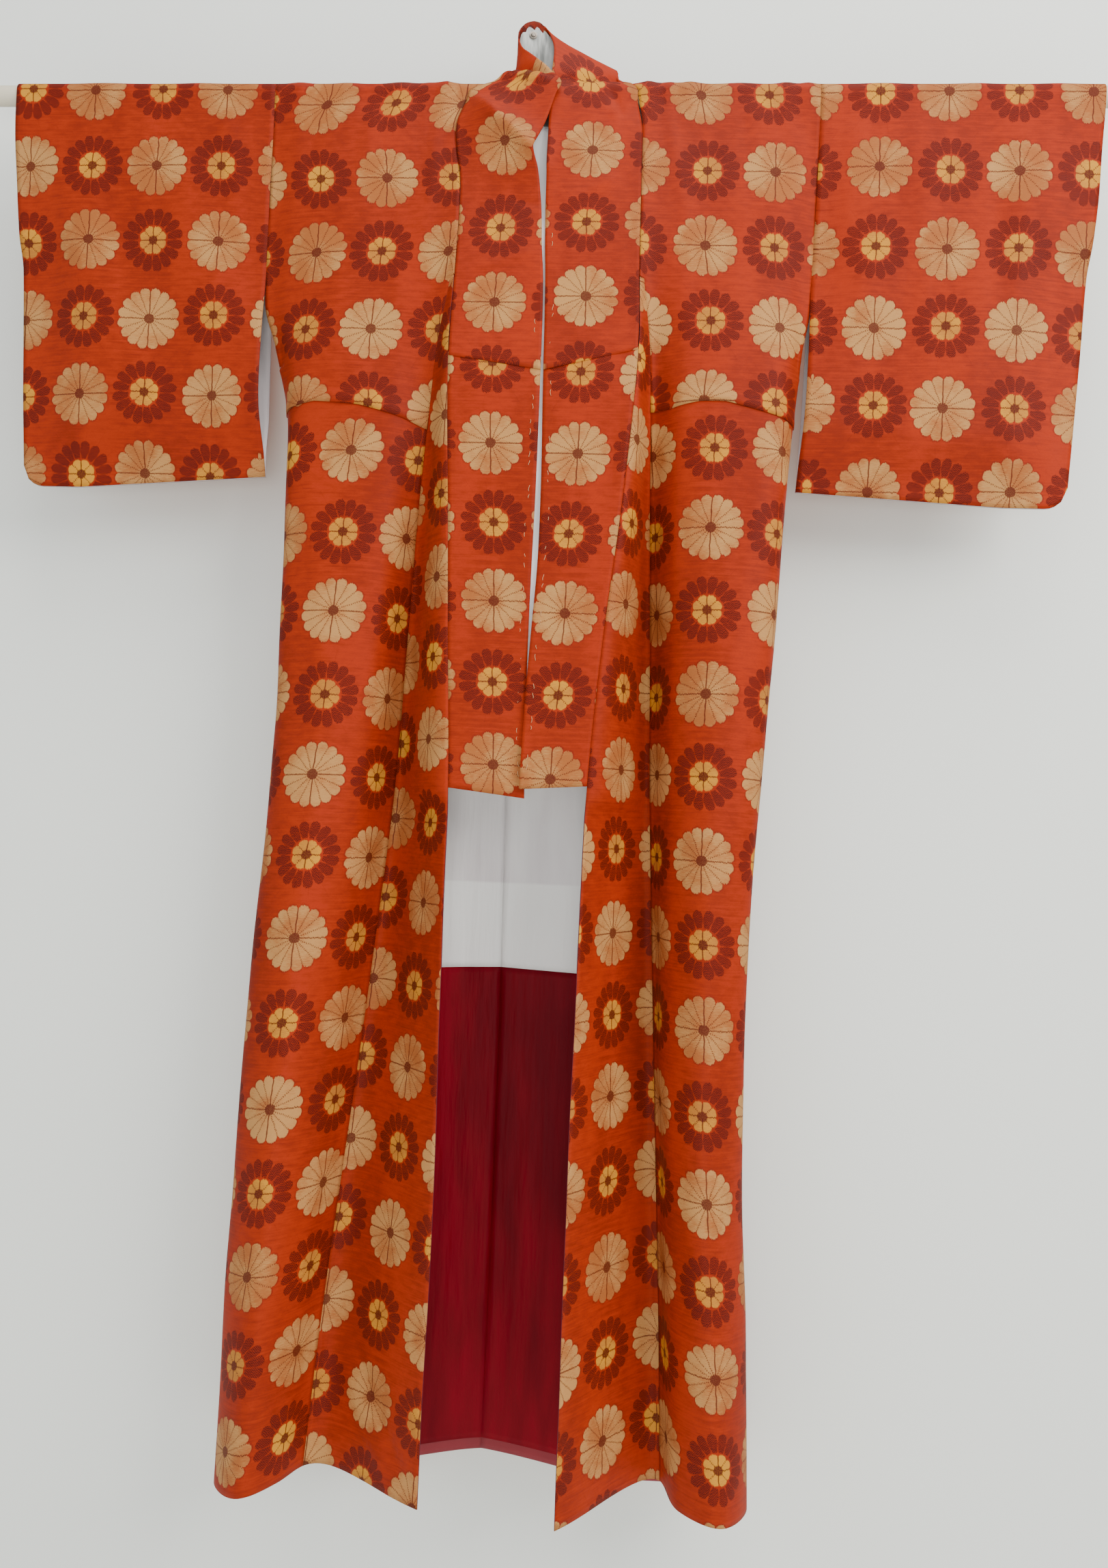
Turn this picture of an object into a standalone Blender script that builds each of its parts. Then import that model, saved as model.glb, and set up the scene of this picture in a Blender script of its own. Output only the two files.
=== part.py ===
"""A lined kimono with its shoulders and sleeves laid over a round rod.

The origin is the middle of the rod's axis. +X is the viewer's right, the front faces -Y and +Z is up.
Left and right are as the viewer sees them. Each cloth piece is a thin wall round a middle surface, and
a drop is a distance below the rod's axis; negative drops run up the front of the rod to its top.
"""

import math

import bmesh
import bpy
import numpy as np

# Rod and cloth
ROD_LENGTH = 1.40
ROD_RADIUS = 0.0115
ROD_SIDES = 32
FIT_GAP = 0.0003
SEAM_GAP = 0.0004
WALL = 0.0016
LINING_WALL = 0.0010
WRAP_RADIUS = ROD_RADIUS + FIT_GAP + WALL / 2
QUARTER = WRAP_RADIUS * math.pi / 2
LINING_INSET = WALL / 2 + FIT_GAP + LINING_WALL / 2

# Garment heights, as drops below the rod's axis
HEM = 1.62
OVERLAP_TOP = 0.24
SLEEVE_JOIN = 0.245
SIDE_SLIT_END = 0.38
OVER_COLLAR_END = 0.345
COLLAR_END = 0.838
LINING_TOP = 0.12
LINING_CHANGE = 1.042
LINING_HEM = 1.606
SIDE_SEAM_TURN = 0.31
BACK_TURN = 0.33

# Neck: the cut behind the rod, as shares of the quarter turn, and how the over-collar clears it
NECKLINE_SHARE = 0.15
NECKLINE_SLOPE = 0.05
NECKLINE_EASE = 0.009
NECK_LIFT = 0.0010
NECK_EASE = 0.0016
NECK_FOOT = -0.020
CORNER_SHARE = 0.12
CORNER_LEAN = 1.25

# Points that steer the sections beside the collar's seam and the back's side seam
COLLAR_STEER = 0.015
COLLAR_RELEASE = (0.004, 0.030)
BACK_STEER = 0.050
BACK_STEER_DEPTH = 0.8

# Lining behind the slot between the collars and inside the neck
LINING_START = 0.4
SLOT_DROPS = (0.18, 0.26, 0.34, 0.42, 0.50, 0.58, 0.66, 0.74, 0.82)
SLOT_SHIFTS = (-0.020, -0.006, 0.008)
NECK_LINING_FOOT = 0.6

# Sleeves
SLEEVE_CORNER = 0.025
SLEEVE_FULLNESS = 0.0175
SLEEVE_CLOSED = WALL / 2 + FIT_GAP / 2
SLEEVE_BOTTOM_SLOPE = 1.3
SLEEVE_WAVE_DROP = 1.3
SLEEVE_SWELL_DROP = 0.12
SLEEVE_INNER_SWELL = 0.07
SLEEVE_OUTER_SWELL = 0.09
SLEEVE_BOTTOM_SWELL = 0.085
CUFF_END = 0.215
CUFF_OPEN = 0.0085
CUFF_NARROWING = 0.10
CUFF_CLOSING = 0.04

# Snap on the neck lining
SNAP_RADIUS = 0.0046
SNAP_HEIGHT = 0.0022
SNAP_GAP = 0.0009
SNAP_SIDES = 20
SNAP_SHARE = 0.80
# Its outline from the foot up: shares of the radius and of the height
SNAP_PROFILE = ((1.0, 0.0), (1.0, 0.30), (0.62, 0.42), (0.55, 0.80), (0.36, 1.0))

# Surface directions are measured over this step, and edges sharper than this angle stay sharp
STEP = 0.002
SLEEVE_STEP = 0.01
SHARP_ANGLE = math.radians(50)

# Sections of each half's front, as (x, y) places at each drop. Columns of the inner tables: drop, edge at
# the opening, overlap seam in its valley, slope. Columns of the outer ones: drop, crest, side, side seam.
LEFT_INNER = (
    (0.00, (-0.088, -0.0126), (-0.094, -0.0126), (-0.170, -0.0126)),
    (0.04, (-0.100, -0.018), (-0.106, -0.0175), (-0.170, -0.0165)),
    (0.12, (-0.093, -0.029), (-0.099, -0.028), (-0.170, -0.025)),
    (0.24, (-0.093, -0.043), (-0.098, -0.039), (-0.165, -0.034)),
    (0.31, (-0.095, -0.049), (-0.110, -0.034), (-0.165, -0.038)),
    (0.38, (-0.093, -0.055), (-0.117, -0.028), (-0.162, -0.042)),
    (0.50, (-0.087, -0.058), (-0.128, -0.014), (-0.162, -0.040)),
    (0.65, (-0.080, -0.062), (-0.138, 0.004), (-0.168, -0.037)),
    (0.84, (-0.071, -0.068), (-0.149, 0.018), (-0.180, -0.033)),
    (1.00, (-0.070, -0.072), (-0.162, 0.013), (-0.192, -0.035)),
    (1.15, (-0.068, -0.076), (-0.175, 0.006), (-0.203, -0.038)),
    (1.30, (-0.066, -0.081), (-0.189, -0.002), (-0.214, -0.043)),
    (1.45, (-0.068, -0.085), (-0.202, -0.012), (-0.224, -0.048)),
    (1.62, (-0.069, -0.088), (-0.214, -0.020), (-0.235, -0.056)),
)
LEFT_OUTER = (
    (0.00, (-0.235, -0.0126), (-0.290, -0.0126), (-0.325, -0.0126)),
    (0.04, (-0.235, -0.0165), (-0.290, -0.015), (-0.325, -0.0122)),
    (0.12, (-0.235, -0.025), (-0.290, -0.020), (-0.326, -0.011)),
    (0.24, (-0.235, -0.034), (-0.292, -0.024), (-0.326, -0.011)),
    (0.31, (-0.235, -0.040), (-0.288, -0.027), (-0.311, -0.011)),
    (0.38, (-0.230, -0.046), (-0.284, -0.029), (-0.295, -0.004)),
    (0.50, (-0.222, -0.050), (-0.283, -0.030), (-0.285, 0.006)),
    (0.65, (-0.224, -0.052), (-0.282, -0.031), (-0.281, 0.010)),
    (0.84, (-0.230, -0.056), (-0.286, -0.032), (-0.283, 0.014)),
    (1.00, (-0.239, -0.062), (-0.294, -0.034), (-0.289, 0.018)),
    (1.15, (-0.246, -0.068), (-0.300, -0.034), (-0.293, 0.021)),
    (1.30, (-0.252, -0.073), (-0.304, -0.034), (-0.296, 0.024)),
    (1.45, (-0.257, -0.078), (-0.309, -0.032), (-0.299, 0.027)),
    (1.62, (-0.263, -0.081), (-0.313, -0.030), (-0.301, 0.030)),
)
RIGHT_INNER = (
    (0.00, (0.112, -0.0126), (0.118, -0.0126), (0.180, -0.0126)),
    (0.04, (0.118, -0.018), (0.124, -0.0175), (0.180, -0.0165)),
    (0.12, (0.120, -0.029), (0.126, -0.028), (0.182, -0.025)),
    (0.24, (0.122, -0.043), (0.127, -0.038), (0.180, -0.034)),
    (0.31, (0.124, -0.049), (0.136, -0.030), (0.180, -0.038)),
    (0.38, (0.121, -0.055), (0.140, -0.022), (0.178, -0.042)),
    (0.50, (0.112, -0.058), (0.144, -0.004), (0.176, -0.040)),
    (0.65, (0.097, -0.062), (0.150, 0.010), (0.178, -0.036)),
    (0.84, (0.084, -0.068), (0.157, 0.020), (0.182, -0.032)),
    (1.00, (0.082, -0.074), (0.165, 0.020), (0.186, -0.034)),
    (1.15, (0.080, -0.078), (0.173, 0.017), (0.191, -0.038)),
    (1.30, (0.080, -0.083), (0.181, 0.012), (0.198, -0.043)),
    (1.45, (0.080, -0.089), (0.189, 0.005), (0.206, -0.049)),
    (1.62, (0.081, -0.097), (0.196, 0.000), (0.215, -0.054)),
)
RIGHT_OUTER = (
    (0.00, (0.240, -0.0126), (0.292, -0.0126), (0.326, -0.0126)),
    (0.04, (0.240, -0.0165), (0.292, -0.015), (0.326, -0.0122)),
    (0.12, (0.240, -0.025), (0.290, -0.020), (0.325, -0.011)),
    (0.24, (0.240, -0.034), (0.290, -0.024), (0.322, -0.011)),
    (0.31, (0.242, -0.040), (0.294, -0.027), (0.314, -0.011)),
    (0.38, (0.240, -0.046), (0.296, -0.029), (0.308, -0.004)),
    (0.50, (0.236, -0.050), (0.294, -0.030), (0.297, 0.006)),
    (0.65, (0.232, -0.054), (0.288, -0.032), (0.287, 0.010)),
    (0.84, (0.226, -0.056), (0.277, -0.034), (0.275, 0.014)),
    (1.00, (0.224, -0.060), (0.270, -0.034), (0.266, 0.018)),
    (1.15, (0.225, -0.064), (0.268, -0.034), (0.262, 0.021)),
    (1.30, (0.230, -0.069), (0.272, -0.034), (0.265, 0.024)),
    (1.45, (0.242, -0.074), (0.283, -0.032), (0.275, 0.027)),
    (1.62, (0.254, -0.079), (0.291, -0.030), (0.284, 0.030)),
)
# How far the hem hangs past HEM at the same six places, then at the back's two places and its centre
HEM_EXTRA = {
    "left": (-0.001, -0.001, 0.001, 0.004, 0.018, 0.024, 0.026, 0.028, 0.012),
    "right": (0.005, -0.003, -0.001, 0.000, 0.008, 0.018, 0.022, 0.024, 0.012),
}

# The back. Columns: drop, y of its panels, x and y of the centre seam
BACK = (
    (0.00, 0.0126, -0.018, 0.0126),
    (0.04, 0.0135, -0.018, 0.0135),
    (0.12, 0.0165, -0.017, 0.0170),
    (0.24, 0.0225, -0.017, 0.0235),
    (0.38, 0.0300, -0.017, 0.0315),
    (0.60, 0.0360, -0.017, 0.0390),
    (0.84, 0.0400, -0.017, 0.0450),
    (1.15, 0.0440, -0.015, 0.0540),
    (1.62, 0.0450, -0.018, 0.0690),
)
# The back's edge at the side. Columns: drop, y
BACK_SEAM = ((0.00, 0.0126), (0.12, 0.0120), (0.24, 0.0125), (0.31, 0.0110), (0.38, -0.0030))

# Where each half's inner edge lies on the rod: front of the rod, halfway up, its top, halfway down behind
NECK_CORNERS = {"left": (-0.088, -0.066, -0.046, -0.037), "right": (0.112, 0.102, 0.085, 0.066)}

# Free edges of the two collars below the neck. Columns: drop, left x, right x, and how far the left and
# the right one lie behind their seams
FREE_EDGES = (
    (0.16, 0.0050, 0.0095, 0.000, 0.000),
    (0.24, 0.0105, 0.0130, 0.000, 0.000),
    (0.31, 0.0125, 0.0150, 0.000, 0.000),
    (0.38, 0.0130, 0.0165, 0.000, 0.000),
    (0.50, 0.0130, 0.0190, 0.000, 0.000),
    (0.58, 0.0120, 0.0185, 0.001, 0.000),
    (0.65, 0.0115, 0.0150, 0.002, -0.001),
    (0.74, 0.0120, 0.0110, 0.004, -0.002),
    (0.84, 0.0145, 0.0085, 0.005, -0.003),
)

# Stations of the over-collar round the neck, from the left front over the rod, across the back and
# forward again. Columns: side, drop on the half's edge where the strip is sewn on, x of that place behind
# the rod, free edge's x, y and z, and how far the strip stands out in a corner near its seam.
NECK = (
    ("left", 0.110, None, -0.0010, -0.0315, -0.1080, 0.000),
    ("left", 0.076, None, -0.0055, -0.0310, -0.0860, 0.000),
    ("left", 0.042, None, 0.0070, -0.0310, -0.0460, 0.000),
    ("left", 0.016, None, 0.0160, -0.0310, -0.0160, 0.000),
    ("left", 0.0000, None, 0.0210, -0.0295, 0.0015, 0.000),
    ("left", -0.0050, None, 0.0115, -0.0250, 0.0130, 0.000),
    ("left", -0.0100, None, 0.0020, -0.0200, 0.0255, 0.000),
    ("left", -0.0150, None, -0.0090, -0.0155, 0.0365, 0.000),
    ("left", -0.0198, None, -0.0195, -0.0110, 0.0470, 0.000),
    ("back", -0.0150, -0.0415, -0.0285, -0.0060, 0.0565, 0.000),
    ("back", -0.0100, -0.0370, -0.0335, -0.0010, 0.0690, 0.000),
    ("back", -0.0065, -0.0315, -0.0345, 0.0060, 0.0840, 0.000),
    ("back", -0.0030, -0.0240, -0.0310, 0.0130, 0.0965, 0.000),
    ("back", -0.0030, -0.0060, -0.0215, 0.0175, 0.1045, 0.000),
    ("back", -0.0030, 0.0180, -0.0130, 0.0185, 0.1045, 0.000),
    ("back", -0.0030, 0.0420, -0.0070, 0.0180, 0.1005, 0.002),
    ("back", -0.0065, 0.0560, -0.0040, 0.0170, 0.0965, 0.004),
    ("back", -0.0100, 0.0660, -0.0015, 0.0155, 0.0925, 0.005),
    ("back", -0.0150, 0.0760, 0.0010, 0.0135, 0.0875, 0.006),
    ("right", -0.0198, None, 0.0040, 0.0095, 0.0795, 0.007),
    ("right", -0.0150, None, 0.0075, 0.0035, 0.0685, 0.006),
    ("right", -0.0100, None, 0.0095, -0.0045, 0.0550, 0.005),
    ("right", -0.0050, None, 0.0100, -0.0120, 0.0400, 0.003),
    ("right", 0.0000, None, 0.0095, -0.0185, 0.0245, 0.001),
    ("right", 0.016, None, 0.0087, -0.0245, -0.0030, 0.000),
    ("right", 0.050, None, 0.0085, -0.0270, -0.0480, 0.000),
    ("right", 0.100, None, 0.0085, -0.0290, -0.1000, 0.000),
)

# Sleeves. Columns: drop, x of the outer edge, x of the inner edge, half the opening at the inner edge
SLEEVES = {
    "left": (
        (0.000, -0.647, -0.325, 0.0126),
        (0.060, -0.647, -0.325, 0.0120),
        (0.120, -0.642, -0.326, 0.0112),
        (0.225, -0.632, -0.326, 0.0112),
        (0.300, -0.628, -0.326, 0.0190),
        (0.380, -0.624, -0.325, 0.0215),
        (0.440, -0.620, -0.321, 0.0160),
        (0.485, -0.617, -0.317, 0.0010),
    ),
    "right": (
        (0.000, 0.652, 0.326, 0.0126),
        (0.060, 0.650, 0.326, 0.0120),
        (0.120, 0.648, 0.325, 0.0112),
        (0.225, 0.638, 0.322, 0.0112),
        (0.300, 0.634, 0.321, 0.0150),
        (0.380, 0.629, 0.319, 0.0155),
        (0.440, 0.625, 0.315, 0.0120),
        (0.485, 0.622, 0.312, 0.0010),
    ),
}
# Drop of the bottom at the inner and the outer edge
SLEEVE_BOTTOM = {"left": (0.468, 0.485), "right": (0.473, 0.486)}
# Waves across a sleeve: height, number, phase
SLEEVE_WAVES = {"left": (0.0022, 2.1, 0.6), "right": (0.0022, 1.8, 2.4)}

# Rows of drops and columns of places that the panels are cut into
WRAP_DROPS = tuple(-QUARTER * share for share in (0.985, 0.75, 0.5, 0.25)) + (0.0,)
BODY_DROPS = (0.38, 0.44, 0.52, 0.62, 0.73, 0.84, 0.87, 0.95, 1.08, 1.22, 1.36, 1.5, 1.62)
FRONT_DROPS = (0.04, 0.08, 0.12, 0.18, 0.236, 0.2396, 0.28, 0.33) + BODY_DROPS
OVERLAP_DROPS = (0.24, 0.28, 0.33) + BODY_DROPS
BACK_DROPS = (0.06, 0.12, 0.18, 0.245, 0.31) + BODY_DROPS
NECKLINE_SHARES = (0.985, 0.75, 0.5, 0.35, NECKLINE_SHARE + NECKLINE_SLOPE, NECKLINE_SHARE, 0.0)
FRONT_PLACES = (1, 1.25, 1.5, 1.75, 2, 2.33, 2.67, 3, 3.33, 3.67, 4, 4.4, 4.8, 5)
OVERLAP_PLACES = (0, 0.15, 0.5, 0.8, 1)
BACK_PLACES = (0, 0.4, 0.8, 1.2, 1.6, 2, 2.33, 2.67, 3)
LINING_PLACES = (LINING_START, 0.8, 1.2, 1.6, 2, 2.33, 2.67, 3)
LOWER_COLLAR_DROPS = (OVER_COLLAR_END, 0.42, 0.5, 0.6, 0.7, 0.78, COLLAR_END)
OVER_COLLAR_DROPS = (0.160, 0.200, 0.236, 0.280, OVER_COLLAR_END)
COLLAR_PLACES = (0, CORNER_SHARE, 0.4, 0.7, 1)
SLEEVE_PLACES = (0, 0.06, 0.15, 0.26, 0.38, 0.5, 0.62, 0.74, 0.85, 0.93, 0.975, 1)
SLEEVE_SHARES = (0.0, 0.08, 0.17, 0.27, 0.37, 0.46, 0.55, 0.66, 0.77, 0.87, 0.94, 1.0)

# Finishes: colour, roughness, metallic
FINISHES = {
    "figured_cloth": ((0.56, 0.065, 0.016, 1), 0.55, 0.0),
    "collar_cloth": ((0.56, 0.070, 0.018, 1), 0.55, 0.0),
    "pale_lining": ((0.74, 0.70, 0.67, 1), 0.6, 0.0),
    "crimson_lining": ((0.26, 0.004, 0.016, 1), 0.55, 0.0),
    "rod_paint": ((0.72, 0.66, 0.55, 1), 0.45, 0.0),
    "snap_metal": ((0.45, 0.42, 0.36, 1), 0.35, 1.0),
}


def smooth_step(value, low=0.0, high=1.0):
    share = np.clip((value - low) / (high - low), 0.0, 1.0)
    return share * share * (3 - 2 * share)


def hermite(knots, points, slopes, at):
    """Place and direction at a parameter of a smooth curve through the points."""
    i = int(np.clip(np.searchsorted(knots, at) - 1, 0, len(knots) - 2))
    span = knots[i + 1] - knots[i]
    k = (at - knots[i]) / span
    place = (
        (2 * k**3 - 3 * k**2 + 1) * points[i]
        + (k**3 - 2 * k**2 + k) * span * slopes[i]
        + (3 * k**2 - 2 * k**3) * points[i + 1]
        + (k**3 - k**2) * span * slopes[i + 1]
    )
    direction = (
        (6 * k**2 - 6 * k) * (points[i] - points[i + 1]) / span
        + (3 * k**2 - 4 * k + 1) * slopes[i]
        + (3 * k**2 - 2 * k) * slopes[i + 1]
    )
    return place, direction


def follow(rows, drop):
    """A table's values at any drop, level at its first row."""
    knots = np.array([row[0] for row in rows], float)
    points = np.array([np.ravel(np.array(row[1:], float)) for row in rows])
    slopes = np.gradient(points, knots, axis=0)
    slopes[0] = 0.0
    return hermite(knots, points, slopes, float(np.clip(drop, knots[0], knots[-1])))[0]


class Section:
    """A smooth curve through control points; the first and last only steer its ends."""

    def __init__(self, controls):
        controls = np.array(controls, float)
        steps = np.linalg.norm(np.diff(controls, axis=0), axis=1)
        chord = np.concatenate([[0.0], np.cumsum(steps)])
        slopes = np.gradient(controls, chord, axis=0)
        self.knots = chord[1:-1]
        self.points = controls[1:-1]
        self.slopes = slopes[1:-1]

    def at(self, place, ends=None):
        """The point at a control's number, kept half a seam gap inside the two ends."""
        span = np.interp(place, np.arange(len(self.knots)), self.knots)
        if ends is not None:
            low, high = np.interp(ends, np.arange(len(self.knots)), self.knots)
            span = np.clip(span, low + SEAM_GAP / 2, high - SEAM_GAP / 2)
        return hermite(self.knots, self.points, self.slopes, span)


def sign_of(side):
    return -1.0 if side == "left" else 1.0


def neck_edge_x(side, drop, behind=False):
    """Where a half's inner edge lies on the rod, by the arc length up from the rod's side."""
    corners = NECK_CORNERS[side]
    share = np.clip(-drop / QUARTER, 0.0, 1.0)
    if behind:
        centre, low = BACK[0][2], corners[3] - NECKLINE_EASE * sign_of(side)
        knots = (0.0, NECKLINE_SHARE, NECKLINE_SHARE + NECKLINE_SLOPE, 0.5, 1.0)
        return float(np.interp(share, knots, (centre, centre, low, corners[3], corners[2])))
    return float(np.interp(share, (0.0, 0.5, 1.0), corners[:3]))


def seam_x(side, drop):
    """The line where the body meets the sleeve, and below it the body's own side seam."""
    outer = LEFT_OUTER if side == "left" else RIGHT_OUTER
    line = follow(SLEEVES[side], min(drop, SLEEVE_JOIN))[1]
    if drop <= SLEEVE_JOIN:
        return line
    inward = smooth_step(drop, SLEEVE_JOIN, SIDE_SEAM_TURN)
    return line + (follow(outer, drop)[4] - line) * inward


def front_controls(side, drop):
    tables = (LEFT_INNER, LEFT_OUTER) if side == "left" else (RIGHT_INNER, RIGHT_OUTER)
    controls = np.concatenate([follow(table, drop) for table in tables]).reshape(-1, 2)
    controls[5, 0] = seam_x(side, drop)
    return controls


def back_controls(side, drop):
    panel_y, centre_x, centre_y = follow(BACK, drop)
    sewn = smooth_step(drop, BACK_TURN, SIDE_SLIT_END)
    front_y = front_controls(side, drop)[5, 1]
    seam_y = follow(BACK_SEAM, drop)[0] * (1 - sewn) + front_y * sewn
    seam = (seam_x(side, drop), seam_y)
    near = (seam[0] - sign_of(side) * BACK_STEER, seam_y + BACK_STEER_DEPTH * (panel_y - seam_y))
    middle = ((seam[0] + centre_x) / 2, panel_y)
    return np.array([seam, near, middle, (centre_x, centre_y)])


def inner_edge(side, drop):
    """Free edge of the collar, as x and y."""
    left_x, right_x, left_back, right_back = follow(FREE_EDGES, drop)
    edge_y = front_controls(side, drop)[0, 1]
    if side == "left":
        return np.array([left_x, edge_y + left_back])
    return np.array([right_x, edge_y + right_back])


def front_section(side, drop):
    """From the opening's edge, round the side, to the side seam."""
    controls = front_controls(side, drop)
    first, last = (COLLAR_END + past for past in COLLAR_RELEASE)
    collared = 1 - smooth_step(drop, first, last)
    near_collar = controls[0] - np.array([sign_of(side) * COLLAR_STEER, 0.0])
    straight_on = 2 * controls[0] - controls[1]
    before = near_collar * collared + straight_on * (1 - collared)
    sewn = smooth_step(drop, SIDE_SEAM_TURN, SIDE_SLIT_END)
    mirrored = np.array([2 * controls[5, 0] - controls[4, 0], controls[4, 1]])
    after = mirrored * (1 - sewn) + back_controls(side, drop)[1] * sewn
    return Section([before, *controls, after])


def back_section(side, drop):
    """From the side seam to the centre seam."""
    controls = back_controls(side, drop)
    sewn = smooth_step(drop, SIDE_SEAM_TURN, SIDE_SLIT_END)
    mirrored = np.array([2 * controls[0, 0] - controls[1, 0], controls[1, 1]])
    before = mirrored * (1 - sewn) + front_controls(side, drop)[4] * sewn
    after = np.array([2 * controls[3, 0] - controls[2, 0], controls[2, 1]])
    return Section([before, *controls, after])


def collar_section(side, drop):
    """From the collar's seam to its free edge."""
    edge, valley = front_controls(side, drop)[:2]
    inner = inner_edge(side, drop)
    near = edge - np.array([sign_of(side) * COLLAR_STEER, 0.0])
    middle = (near + inner) / 2
    return Section([valley, edge, near, middle, inner, 2 * inner - middle])


def on_rod(x, drop, behind=False):
    """A point of the cloth that lies on the rod, by its arc length above the rod's side."""
    angle = -drop / WRAP_RADIUS
    y = WRAP_RADIUS * math.cos(angle)
    return np.array([x, y if behind else -y, WRAP_RADIUS * math.sin(angle)])


def hung(place, drop, extra):
    """A section's point at its drop, with the hem's own unevenness."""
    return np.array([place[0], place[1], -drop - extra * (drop / HEM) ** 2])


def panel_point(side, drop, place, ends, behind):
    """A point of a front or back panel, with the direction along its section."""
    extras = HEM_EXTRA[side]
    if behind:
        extra = np.interp(place, range(4), extras[5:])
    else:
        extra = np.interp(place, range(6), extras[:6])
    section = (back_section if behind else front_section)(side, max(drop, 0.0))
    spot, along = section.at(place, ends)
    if drop >= 0:
        return hung(spot, drop, extra), np.array([along[0], along[1], 0.0])
    seam = seam_x(side, 0.0)
    flat_inner = BACK[0][2] if behind else front_controls(side, 0.0)[0, 0]
    squeeze = (neck_edge_x(side, drop, behind) - seam) / (flat_inner - seam)
    return on_rod(seam + (spot[0] - seam) * squeeze, drop, behind), np.array([along[0], 0.0, 0.0])


def normal_of(across, down, turn):
    """Unit normal of a surface; turn is 1 or -1 and picks its side."""
    normal = np.cross(across, down) * turn
    return normal / np.linalg.norm(normal)


def panel_grid(side, drops, places, ends_at, behind):
    """Middle points and outward normals of a panel. ends_at gives the section's two ends at a drop."""
    points, normals = [], []
    for drop in drops:
        ends = ends_at(drop)
        row, row_normals = [], []
        for share in places:
            place = float(np.interp(share, (places[0], places[-1]), ends))
            spot, along = panel_point(side, drop, place, ends, behind)
            above = panel_point(side, max(drop - STEP, -QUARTER), place, ends, behind)[0]
            below = panel_point(side, min(drop + STEP, HEM), place, ends, behind)[0]
            row.append(spot)
            row_normals.append(normal_of(along, below - above, -sign_of(side)))
        points.append(row)
        normals.append(row_normals)
    return np.array(points), np.array(normals)


def wall(name, points, normals, thickness, finish):
    """A closed wall of even thickness round a grid of middle points."""
    rows, columns = points.shape[:2]
    mesh = bmesh.new()
    outer = [[mesh.verts.new(p) for p in row] for row in points + normals * thickness / 2]
    inner = [[mesh.verts.new(p) for p in row] for row in points - normals * thickness / 2]
    for r in range(rows - 1):
        for c in range(columns - 1):
            for grid in (outer, inner):
                mesh.faces.new((grid[r][c], grid[r][c + 1], grid[r + 1][c + 1]))
                mesh.faces.new((grid[r][c], grid[r + 1][c + 1], grid[r + 1][c]))
    border = [(0, c) for c in range(columns)]
    border += [(r, columns - 1) for r in range(1, rows)]
    border += [(rows - 1, c) for c in range(columns - 2, -1, -1)]
    border += [(r, 0) for r in range(rows - 2, 0, -1)]
    for (r0, c0), (r1, c1) in zip(border, border[1:] + border[:1]):
        mesh.faces.new((outer[r0][c0], inner[r0][c0], inner[r1][c1], outer[r1][c1]))
    bmesh.ops.recalc_face_normals(mesh, faces=mesh.faces)
    bmesh.ops.triangulate(mesh, faces=mesh.faces)
    return add_object(name, mesh, finish)


def add_object(name, mesh, finish):
    data = bpy.data.meshes.new(name)
    mesh.to_mesh(data)
    mesh.free()
    data.shade_smooth()
    data.set_sharp_from_angle(angle=SHARP_ANGLE)
    obj = bpy.data.objects.new(name, data)
    obj.data.materials.append(make_material(name, finish))
    bpy.context.scene.collection.objects.link(obj)
    return obj


def make_material(name, finish):
    colour, roughness, metallic = FINISHES[finish]
    material = bpy.data.materials.new(f"{name}_{finish}")
    material.use_nodes = True
    shader = material.node_tree.nodes["Principled BSDF"]
    shader.inputs["Base Color"].default_value = colour
    shader.inputs["Roughness"].default_value = roughness
    shader.inputs["Metallic"].default_value = metallic
    return material


def make_rod():
    mesh = bmesh.new()
    turn = np.linspace(0, 2 * math.pi, ROD_SIDES, endpoint=False)
    rings = []
    for x in (-ROD_LENGTH / 2, ROD_LENGTH / 2):
        ring = [mesh.verts.new((x, ROD_RADIUS * math.cos(a), ROD_RADIUS * math.sin(a))) for a in turn]
        mesh.faces.new(ring)
        rings.append(ring)
    for i in range(ROD_SIDES):
        j = (i + 1) % ROD_SIDES
        mesh.faces.new((rings[0][i], rings[0][j], rings[1][j], rings[1][i]))
    bmesh.ops.recalc_face_normals(mesh, faces=mesh.faces)
    add_object("rod", mesh, "rod_paint")


def make_front(side):
    def ends_at(drop):
        return (0, 5) if drop < OVERLAP_TOP - 0.002 else (1, 5)

    points, normals = panel_grid(side, WRAP_DROPS + FRONT_DROPS, FRONT_PLACES, ends_at, False)
    wall(f"front_{side}", points, normals, WALL, "figured_cloth")


def make_overlap(side):
    points, normals = panel_grid(side, OVERLAP_DROPS, OVERLAP_PLACES, lambda drop: (0, 1), False)
    wall(f"overlap_{side}", points, normals, WALL, "figured_cloth")


def make_back(side):
    drops = tuple(-QUARTER * share for share in NECKLINE_SHARES) + BACK_DROPS
    points, normals = panel_grid(side, drops, BACK_PLACES, lambda drop: (0, 3), True)
    wall(f"back_{side}", points, normals, WALL, "figured_cloth")


def make_lining(side, level, drops, finish):
    points, normals = panel_grid(side, drops, LINING_PLACES, lambda drop: (LINING_START, 3), True)
    wall(f"lining_{level}_{side}", points - normals * LINING_INSET, normals, LINING_WALL, finish)


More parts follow.
